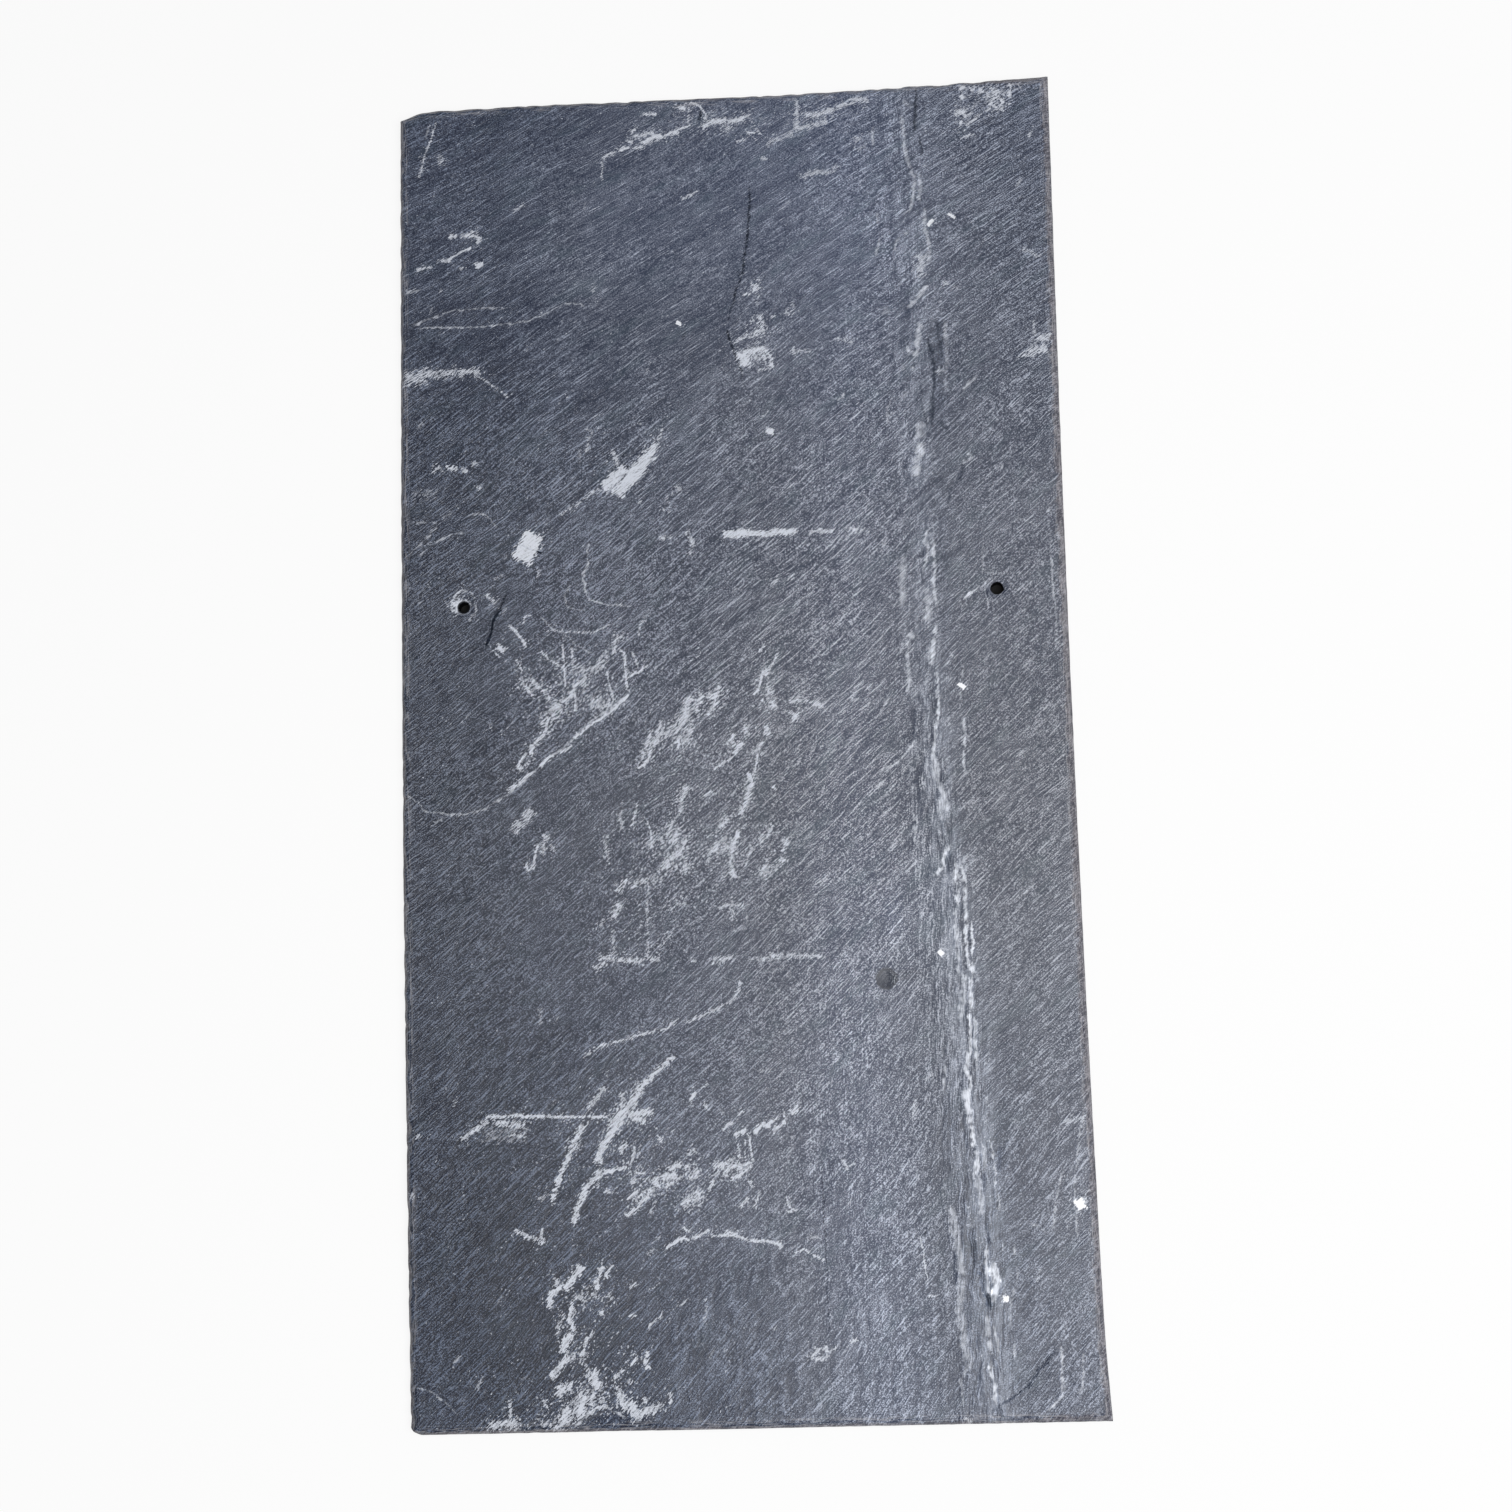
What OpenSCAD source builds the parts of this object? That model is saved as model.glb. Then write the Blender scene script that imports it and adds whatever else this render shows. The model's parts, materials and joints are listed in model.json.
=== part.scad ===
// Natural slate roof tile, split by hand and dressed along its four edges.
// It lies on its bed: +Z out of the exposed face, +Y to the head, +X to the right.
// The origin is the middle of the bed, and every length is in millimetres.

/* [Tile] */
// Length from head to tail
slate_length = 500; // [300:1:610]
// Width across the tile
slate_width = 250; // [180:1:360]
// Thickness from the bed to the mean level of the face
slate_thickness = 6.5; // [5:0.1:12]
// How much thinner the head is than the tail
head_thinning = 0.4; // [0:0.1:1]

/* [Hand-cut outline] */
// How far the left edge bows outward at its middle
left_bow = 1.3; // [0:0.1:3]
// How far the right edge hollows inward at its middle
right_hollow = 1.7; // [0:0.1:3]
// How far the right edge flares outward at the tail
tail_flare = 1.2; // [0:0.1:3]
// Height of the wave along the head edge
head_wave = 0.8; // [0:0.1:2]
// Width of the clipped corner along the head edge
clip_run = 12; // [6:0.5:30]
// Depth of the clipped corner down the left edge
clip_drop = 3.6; // [0:0.1:8]
// Radius of the worn corner between the tail and the left edge
tail_corner_radius = 4; // [1:0.5:8]

/* [Dressed edge] */
// Least width of the chipped bevel round the face
bevel_width = 1.2; // [0.8:0.1:3]
// How far below the face the bevel meets the rim
bevel_depth = 2.3; // [0.8:0.1:3.5]
// Length of one dressing flake along an edge
flake_pitch = 9; // [7:0.5:16]
// How much further a full flake bites into the face
flake_bite = 1.9; // [0:0.1:3]
// Distance of the large tail flake from the left edge
tail_chip_inset = 69; // [30:1:110]
// Length of the large tail flake along the edge
tail_chip_length = 22; // [8:1:40]
// Reach of the large tail flake into the face
tail_chip_reach = 8.4; // [4:0.1:9]

/* [Riven face] */
// Height of the long swells left by splitting
swell_height = 0.35; // [0:0.05:0.8]
// Length of one long swell
swell_length = 190; // [80:5:300]
// Height of the short ripples along the split
ripple_height = 0.09; // [0:0.01:0.2]
// Length of one short ripple
ripple_length = 34; // [25:1:60]
// Direction in which the split ran, from the right edge round to the head
split_angle = 35; // [0:1:90]
// Height of the step where a thin sheet of slate came away
sheet_step = 0.25; // [0:0.05:0.6]
// Distance of that step from the head, at the left edge
sheet_step_head = 268; // [120:1:280]

/* [Vein] */
// Distance of the vein from the right edge at the head
vein_inset = 51.5; // [35:0.5:70]
// Distance from the head at which the vein starts to lean
vein_bend_head = 230; // [100:1:280]
// How far the vein leans to the right by the tail
vein_lean = 13; // [0:0.5:15]
// Width of the ridged band that follows the vein
vein_width = 25; // [15:1:30]
// Height of the main ridge above the face
vein_height = 0.45; // [0:0.05:0.8]

/* [Nail holes] */
// Diameter of a nail hole
hole_diameter = 4.5; // [3:0.1:6]
// Distance of the left hole from the head
left_hole_head = 196.6; // [60:0.1:260]
// Distance of the left hole from the left edge
left_hole_edge = 23.1; // [16:0.1:40]
// Distance of the right hole from the head
right_hole_head = 198.3; // [60:0.1:260]
// Distance of the right hole from the right edge
right_hole_edge = 27.1; // [16:0.1:30]
// Diameter of the crater where the punch broke out of the face
spall_diameter = 10.5; // [7:0.1:14]
// Depth of that crater
spall_depth = 1.2; // [0.5:0.1:2]

/* [Hidden] */

half_w = slate_width / 2;
half_l = slate_length / 2;
hole_r = hole_diameter / 2;
spall_r = spall_diameter / 2;
spall_floor = slate_thickness - spall_depth;
vein_x = half_w - vein_inset;

// Size of one patch of the face, away from the vein and across it
patch = 8.2;
vein_patch = 3.2;
// Fine steps along the rim for each patch of the face
rim_steps = 3;
// Width of the border between the rim and the patches
border = 10;
// Length of the corner stretch in which the rim steps get shorter
corner_patches = 4 / rim_steps;
corner_power = 1.8;
// The bevel is hollow: its middle ring lies this share of the way in and of the way down
hollow_in = 0.5;
hollow_down = 0.55;
// Least inset of the rim above the bed, and how much more a full flake takes from it
rim_inset = 0.25;
rim_bite = 0.25;
// A cut runs this far past the surfaces that it opens
overrun = 2;

// Smooth step from 0 to 1, and a repeatable number from 0 to 1 for each whole k
function ease(t) = let(c = max(0, min(1, t))) c * c * (3 - 2 * c);
function chance(k) = let(s = sin(k * 127.1 + 31.7) * 4375.85) s - floor(s);

// Stations across the face: even patches, with narrow ones over the vein
left_span = vein_x - vein_width / 2 + half_w - border;
right_span = vein_inset - vein_width / 2 - border;
n_left = max(2, round(left_span / patch));
n_vein = max(2, round(vein_width / vein_patch));
n_right = max(1, round(right_span / patch));
columns = [
    for (i = [0 : n_left]) border - half_w + left_span * i / n_left,
    for (i = [1 : n_vein]) vein_x + vein_width * (i / n_vein - 0.5),
    for (i = [1 : n_right]) half_w - border - right_span * (1 - i / n_right)
];
nx = len(columns) - 1;
ny = max(4, round((slate_length - 2 * border) / patch));
rows = [for (j = [0 : ny]) (half_l - border) * (1 - 2 * j / ny)];

// How far the left, right, head and tail edges stand outside a true rectangle
function left_edge(v) = left_bow * cos(85 * v);
function right_edge(v) =
    right_hollow * (0.3 - cos(90 * v)) + tail_flare * pow(max(0, (-v - 0.8) / 0.2), 2);
function head_edge(u) =
    let(from_left = (u + 1) * half_w)
    head_wave * cos(160 * (u + 0.72))
    - clip_drop * pow(max(0, 1 - from_left / clip_run), 1.7);
function tail_edge(u) =
    let(from_left = (u + 1) * half_w, r = tail_corner_radius, t = max(0, 1 - from_left / r))
    r * (sqrt(max(0, 1 - t * t)) - 1);

// The vein runs straight from the head and then leans to the right
function vein_shift(y) = vein_lean * max(0, (half_l - vein_bend_head - y) / (slate_length - vein_bend_head));
function near_vein(x) =
    x < vein_x ? (x + half_w) / (vein_x + half_w) : (half_w - x) / (half_w - vein_x);

// A point of the plain rectangle moved to its place on the real outline
function placed(x, y) =
    let(
        u = x / half_w,
        v = y / half_l,
        wide = right_edge(v) * (1 + u) / 2 - left_edge(v) * (1 - u) / 2,
        long = head_edge(u) * (1 + v) / 2 - tail_edge(u) * (1 - v) / 2
    )
    [x + vein_shift(y) * near_vein(x) + wide, y + long];

// Ridges along the vein: the main one and two lower ones to its left
function ridge(x, half_width) = pow(2, -pow(x / half_width, 2));
function vein_relief(x, y) =
    let(across = x - vein_x - vein_shift(y), wander = 1.2 * sin(360 * y / 95))
    vein_height * (
        ridge(across - wander, 2.6)
        + 0.5 * ridge(across + 0.36 * vein_width + wander, 2.4)
        + 0.3 * ridge(across + 0.18 * vein_width, 2.2)
        - 0.4 * ridge(across - 0.3 * vein_width, 3.5)
    );

// Height of the riven face above the bed
function split_relief(x, y) =
    let(
        along = x * cos(split_angle) + y * sin(split_angle),
        across = y * cos(split_angle) - x * sin(split_angle)
    )
    swell_height * (sin(360 * along / swell_length + 40) + 0.6 * sin(360 * across / swell_length * 1.7))
    + ripple_height * sin(360 * across / ripple_length + 60 * sin(360 * along / swell_length));
function sheet_relief(x, y) =
    let(reach = half_l - sheet_step_head + 0.35 * (x + half_w) + 5 * sin(360 * x / 70))
    sheet_step * (ease((y - reach) / patch + 0.5) - 0.5) * ease((vein_x - vein_width - x) / vein_width);
function face_z(x, y) =
    slate_thickness
    - head_thinning * y / slate_length
    + split_relief(x, y)
    + sheet_relief(x, y)
    + vein_relief(x, y);

// Station list read at any place between its entries
function station(list, t) =
    let(k = max(0, min(len(list) - 2, floor(t))))
    list[k] + (list[k + 1] - list[k]) * (t - k);
// Rim steps crowd together towards both ends of a side
function crowded(t, n) =
    t < corner_patches ? corner_patches * pow(t / corner_patches, corner_power)
    : t > n - corner_patches ? n - crowded(n - t, n)
    : t;

// Rim step i of a rectangle that lies inset inside the outline, going clockwise
sides = [nx, ny, nx, ny];
side_end = [nx, nx + ny, 2 * nx + ny, 2 * nx + 2 * ny];
n_patches = side_end[3];
n_rim = rim_steps * n_patches;
function across_at(t, inset) = station(columns, t) * (half_w - inset) / (half_w - border);
function down_at(t, inset) = station(rows, t) * (half_l - inset) / (half_l - border);
function rim_at(i, inset) =
    let(
        t = i / rim_steps,
        side = t < side_end[0] ? 0 : t < side_end[1] ? 1 : t < side_end[2] ? 2 : 3,
        s = crowded(side == 0 ? t : t - side_end[side - 1], sides[side])
    )
    side == 0 ? [across_at(s, inset), half_l - inset]
    : side == 1 ? [half_w - inset, down_at(s, inset)]
    : side == 2 ? [across_at(nx - s, inset), inset - half_l]
    : [inset - half_w, down_at(ny - s, inset)];

// Distance round the outline, on which the dressing flakes are counted
function round_edge(p) =
    let(x = p[0], y = p[1], far = max(abs(x) / half_w, abs(y) / half_l))
    y / half_l >= far ? x + half_w
    : x / half_w >= far ? slate_width + half_l - y
    : -y / half_l >= far ? slate_width + slate_length + half_w - x
    : 2 * slate_width + slate_length + half_l + y;
// Each flake is a scoop: 0 where two flakes meet, up to 1 at the middle of a deep one
function flake(s) =
    let(t = s / flake_pitch + 0.3 * sin(360 * s / (5.3 * flake_pitch)), k = floor(t))
    sin(180 * (t - k)) * (0.35 + 0.65 * chance(k));
function tail_chip(p) =
    p[1] > 0 ? 0 : sqrt(max(0, 1 - pow((p[0] + half_w - tail_chip_inset) / (tail_chip_length / 2), 2)));

// The edge rises in four rings: the bed's outline, the rim, the hollow and the crest
n_rings = 4;
function bite(i) =
    let(p = rim_at(i, 0)) max(flake(round_edge(p)), tail_chip(p));
function crest_inset(i) =
    let(p = rim_at(i, 0))
    max(bevel_width + flake_bite * flake(round_edge(p)), tail_chip_reach * tail_chip(p));
function rim_depth(i) = bevel_depth * (0.75 + 0.25 * bite(i));
function ring_point(i, ring) =
    let(
        rim = rim_inset + rim_bite * bite(i),
        top = crest_inset(i),
        inset = [0, rim, rim + hollow_in * (top - rim), top][ring],
        p = rim_at(i, inset),
        q = placed(p[0], p[1]),
        below_face = [0, rim_depth(i), hollow_down * rim_depth(i), 0][ring]
    )
    [q[0], q[1], ring == 0 ? 0 : face_z(q[0], q[1]) - below_face];

points = [
    for (ring = [0 : n_rings - 1]) for (i = [0 : n_rim - 1]) ring_point(i, ring),
    for (y = rows) for (x = columns) let(q = placed(x, y)) [q[0], q[1], face_z(q[0], q[1])],
    [0, 0, 0]
];
bed_middle = len(points) - 1;
crest_ring = n_rings - 1;

function ring_index(ring, i) = ring * n_rim + i % n_rim;
function patch_index(i, j) = n_rings * n_rim + j * (nx + 1) + i;
// Corner k of the patches along the border, clockwise from the head's left end
function border_index(k) =
    let(m = k % n_patches)
    m < side_end[0] ? patch_index(m, 0)
    : m < side_end[1] ? patch_index(nx, m - side_end[0])
    : m < side_end[2] ? patch_index(side_end[2] - m, ny)
    : patch_index(0, n_patches - m);

bed_faces = [for (i = [0 : n_rim - 1]) [bed_middle, ring_index(0, i + 1), ring_index(0, i)]];
edge_faces = [
    for (ring = [0 : n_rings - 2]) for (i = [0 : n_rim - 1]) each [
        [ring_index(ring + 1, i), ring_index(ring, i), ring_index(ring, i + 1)],
        [ring_index(ring + 1, i), ring_index(ring, i + 1), ring_index(ring + 1, i + 1)]
    ]
];
border_faces = [
    for (k = [0 : n_patches - 1])
        let(a = border_index(k), b = border_index(k + 1), first = k * rim_steps, turn = floor(rim_steps / 2))
        each [
            for (j = [0 : rim_steps - 1])
                [j < turn ? a : b, ring_index(crest_ring, first + j), ring_index(crest_ring, first + j + 1)],
            [a, ring_index(crest_ring, first + turn), b]
        ]
];
patch_faces = [
    for (j = [0 : ny - 1]) for (i = [0 : nx - 1]) each [
        [patch_index(i, j), patch_index(i + 1, j), patch_index(i + 1, j + 1)],
        [patch_index(i, j), patch_index(i + 1, j + 1), patch_index(i, j + 1)]
    ]
];

// The split and dressed blank, before it is holed
module riven_slab() {
    polyhedron(points, concat(bed_faces, edge_faces, border_faces, patch_faces), convexity = 4);
}

// A hole punched from the bed, which breaks out of the face in a shallow crater
module nail_hole() {
    rise = spall_depth + overrun;
    translate([0, 0, -overrun])
        cylinder(h = spall_floor + overrun, r = hole_r, $fn = 48);
    translate([0, 0, spall_floor])
        cylinder(h = rise, r1 = hole_r, r2 = hole_r + (spall_r - hole_r) * rise / spall_depth, $fn = 48);
}

module roof_slate() {
    color([0.42, 0.45, 0.5])
        difference() {
            riven_slab();
            translate([left_hole_edge - half_w, half_l - left_hole_head, 0])
                nail_hole();
            translate([half_w - right_hole_edge, half_l - right_hole_head, 0])
                nail_hole();
        }
}

roof_slate();
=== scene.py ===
"""Natural slate roof tile: the riven face, dressed edges and finish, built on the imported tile.

Lengths are in metres, with MM for sizes that are easier to read in millimetres.
+Z comes out of the exposed face, +Y runs to the head of the tile and +X to the right.
"""
import json
import math
import random
from types import SimpleNamespace

import bmesh
import bpy
import numpy as np
from mathutils import Matrix, Vector
from mathutils.bvhtree import BVHTree


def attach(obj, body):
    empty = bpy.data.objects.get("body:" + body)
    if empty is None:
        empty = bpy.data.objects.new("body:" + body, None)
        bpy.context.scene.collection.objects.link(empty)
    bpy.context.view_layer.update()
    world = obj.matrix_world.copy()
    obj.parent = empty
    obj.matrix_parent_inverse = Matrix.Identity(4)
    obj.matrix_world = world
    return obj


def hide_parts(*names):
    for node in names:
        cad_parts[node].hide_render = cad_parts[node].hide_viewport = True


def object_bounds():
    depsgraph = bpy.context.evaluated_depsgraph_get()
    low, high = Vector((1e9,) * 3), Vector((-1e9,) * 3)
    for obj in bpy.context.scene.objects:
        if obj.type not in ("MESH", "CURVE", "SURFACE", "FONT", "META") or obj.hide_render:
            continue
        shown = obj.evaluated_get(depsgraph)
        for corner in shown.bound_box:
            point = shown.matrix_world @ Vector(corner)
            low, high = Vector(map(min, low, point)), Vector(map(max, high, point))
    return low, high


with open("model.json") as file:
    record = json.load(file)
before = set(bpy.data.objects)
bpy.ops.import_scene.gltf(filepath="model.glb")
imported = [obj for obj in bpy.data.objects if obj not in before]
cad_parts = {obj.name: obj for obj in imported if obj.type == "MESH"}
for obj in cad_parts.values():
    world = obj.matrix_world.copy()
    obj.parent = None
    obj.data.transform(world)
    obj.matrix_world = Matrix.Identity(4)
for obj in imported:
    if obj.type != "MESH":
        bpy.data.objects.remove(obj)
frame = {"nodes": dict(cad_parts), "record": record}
CAD_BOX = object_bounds()
CAD_TILE = frame["nodes"]["roof_slate"]
MOUNTS = {m["name"]: m for m in frame["record"]["mounts"]}
MM = 0.001

# The tile as it is sold, and where its nail holes are
WIDTH = 0.250
LENGTH = 0.500
FACE_LEVEL = 0.0065
HOLES = [Vector(MOUNTS[name]["pos_m"]) for name in ("nail_hole_left", "nail_hole_right")]
HOLE_RADIUS = MOUNTS["nail_hole_left"]["dims"]["r_mm"] * MM
CRATER_FLOOR = MOUNTS["nail_hole_left"]["dims"]["length_mm"] * MM
CRATER_RADIUS = 5.6 * MM
HALF_WIDTH_MM = 125
HALF_LENGTH_MM = 250
ROUND_MM = 2 * (HALF_WIDTH_MM * 2 + HALF_LENGTH_MM * 2)

# The camera of the photograph
PICTURE = 1512
CAMERA_PLACE = Vector((0.085476, -0.159581, 0.987552))
CAMERA_AIM = Vector((0.0068356, -0.0076834, FACE_LEVEL))
CAMERA_ROLL = math.radians(-1.587)
CAMERA_LENS = 64.25
CAMERA_SENSOR = 36.0

# The mesh of the tile, with its columns closer together where the vein runs
FACE_COLUMNS = 210
FACE_ROWS = 360
RIM_STEPS = np.array([0.40, 0.45, 0.55, 0.65, 0.80, 0.95, 1.15]) * MM
VEIN_BAND = (56 * MM, 94 * MM)
VEIN_COLUMNS = 56
BACK_RATIO = 3
EDGE_RINGS = 5
RIM_INSET = 0.35 * MM
BACK_INSET = 0.9 * MM
HOLE_PATCH = 8.0 * MM

# How far in from its sides the floor under the tile is painted dark as the tile's shadow
UNDER_TILE = 8 * MM


# Meshes and objects

def mesh_of(bm, name):
    """A mesh with what was shaped, which is then let go."""
    mesh = bpy.data.meshes.new(name)
    bm.to_mesh(mesh)
    bm.free()
    return mesh


def set_in_scene(name, data):
    made = bpy.data.objects.new(name, data)
    bpy.context.scene.collection.objects.link(made)
    return made


# Camera

def place_camera():
    """The photograph's viewpoint, looking down on the tile."""
    data = bpy.data.cameras.new("camera")
    data.sensor_width = CAMERA_SENSOR
    data.lens = CAMERA_LENS
    camera = set_in_scene("camera", data)
    back = (CAMERA_PLACE - CAMERA_AIM).normalized()
    up = (Vector((0, 1, 0)) - back * back.y).normalized()
    up = Matrix.Rotation(CAMERA_ROLL, 3, back) @ up
    right = up.cross(back)
    turn = Matrix((right, up, back)).transposed()
    camera.matrix_world = Matrix.Translation(CAMERA_PLACE) @ turn.to_4x4()
    bpy.context.scene.camera = camera
    return camera


camera = place_camera()
VIEW_TURN = camera.matrix_world.to_3x3()
VIEW_SCALE = CAMERA_SENSOR / CAMERA_LENS / PICTURE


def on_face(px, py):
    """The place on the face, in millimetres, that a pixel of the photograph shows."""
    ray = VIEW_TURN @ Vector(((px - PICTURE / 2) * VIEW_SCALE, (PICTURE / 2 - py) * VIEW_SCALE, -1))
    hit = CAMERA_PLACE + ray * ((FACE_LEVEL - CAMERA_PLACE.z) / ray.z)
    return np.array((hit.x, hit.y)) / MM


# Marks on the face. Each has a width in mm, a strength and the pixels it runs through.
# A strength above 0 is paler than the slate, and one below 0 is darker.

HEAD_SCUFFS = [
    (1.3, 0.95, [(743, 118), (729, 121)]),
    (0.6, 0.75, [(749.5, 114), (745, 117)]),
    (1.7, 0.95, [(725, 119.5), (711, 121.5), (704, 126)]),
    (1.0, 0.85, [(725.5, 129), (728, 127)]),
    (0.8, 0.95, [(690, 124.5), (677, 129.5), (664.5, 135)]),
    (1.2, 0.85, [(672, 133), (676.5, 133)]),
    (1.8, 0.95, [(661, 136), (649, 139), (644, 142)]),
    (0.9, 0.85, [(641.5, 146), (633.5, 149)]),
    (1.3, 0.92, [(627.5, 147.5), (618, 150)]),
    (0.8, 0.9, [(614, 152.5), (602.5, 156.5)]),
    (1.1, 0.85, [(632, 131), (634.5, 129.5)]),
    (1.2, 0.85, [(627.5, 139.5), (631, 140)]),
    (1.0, 0.8, [(636, 136), (644, 134), (652, 132.5)]),
    (0.9, 0.85, [(645, 114), (656, 114)]),
    (1.3, 0.9, [(681, 107), (684, 108)]),
    (0.7, 0.8, [(674, 107.5), (680, 105)]),
    (0.5, 0.8, [(688.5, 107), (687.5, 121)]),
    (0.6, 0.85, [(691, 102.5), (699, 105), (706, 113)]),
    (1.0, 0.8, [(704.5, 120), (706, 115)]),
    (1.0, -0.8, [(700.5, 112), (700, 119)]),
    (0.6, 0.64, [(601.5, 161), (601.5, 178.5)]),
    (0.7, 0.75, [(737, 141), (745, 139)]),
    (1.0, 0.85, [(761, 157.5), (765, 158)]),
    (0.6, 0.75, [(697, 191), (690, 195.5), (682, 198)]),
    (1.6, 0.75, [(807, 116), (818, 115), (836, 108), (856, 99), (867, 101)]),
    (1.3, 0.7, [(797, 101), (797, 129)]),
    (1.2, 0.7, [(797, 129), (825, 122)]),
    (1.4, 0.6, [(769, 143), (791, 134)]),
    (0.5, 1.05, [(747.5, 132.5), (755, 132.5)]),
    (0.5, 1.0, [(759.5, 132.5), (761, 132.5)]),
    (1.4, 0.6, [(802, 176), (818, 172), (831, 172), (836, 167)]),
    (1.0, 0.5, [(855, 148), (865, 146)]),
    (1.4, 0.6, [(855, 138), (858, 138)]),
    (1.9, 1.0, [(962, 86), (962.5, 89.5)]),
    (1.4, 0.97, [(961.5, 96), (964.5, 99.5)]),
    (0.6, 0.88, [(969, 87), (972, 91.5)]),
    (0.6, 0.85, [(974.5, 87), (972, 90.5)]),
    (1.5, 0.97, [(980.5, 91), (981.5, 91)]),
    (0.9, 0.88, [(988, 94), (988, 97)]),
    (0.5, 0.85, [(991.3, 85.5), (991.3, 89.5)]),
    (1.9, 0.97, [(995, 91), (996, 96)]),
    (1.2, 0.92, [(995, 97), (992.5, 98.5)]),
    (0.7, 0.9, [(991, 99), (991, 105), (989.5, 109.5), (987, 111.5)]),
    (0.9, 0.85, [(993.5, 106), (996, 108)]),
    (1.2, 0.95, [(1002, 100), (1002, 103)]),
    (1.0, 0.88, [(1000.5, 106), (1001.5, 110)]),
    (1.3, 0.95, [(1009, 85.5), (1010.5, 86.5)]),
    (1.0, 0.9, [(1008.5, 93.5), (1009, 97)]),
    (1.2, 0.96, [(955, 115), (959, 112)]),
    (1.8, 1.0, [(960, 112.5), (963.5, 113)]),
    (1.2, 0.97, [(964.5, 114.5), (966, 117)]),
    (0.9, 0.93, [(966, 117), (971, 113.5)]),
    (1.0, 0.9, [(960.5, 122.5), (960.5, 126.5)]),
    (0.6, 0.75, [(1018, 86), (1022, 89)]),
    (0.9, 0.85, [(1029, 135), (1031, 132)]),
    (0.7, 0.75, [(981, 114.5), (967, 125.5)]),
    (0.7, 0.8, [(974.5, 135.5), (960, 138.5)]),
    (0.5, 0.75, [(436, 124), (430, 142), (424, 160), (420, 178)]),
    (0.35, 0.4, [(430, 122), (426, 138)]),
    (1.5, 0.7, [(441, 159), (442, 163)]),
]
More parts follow.
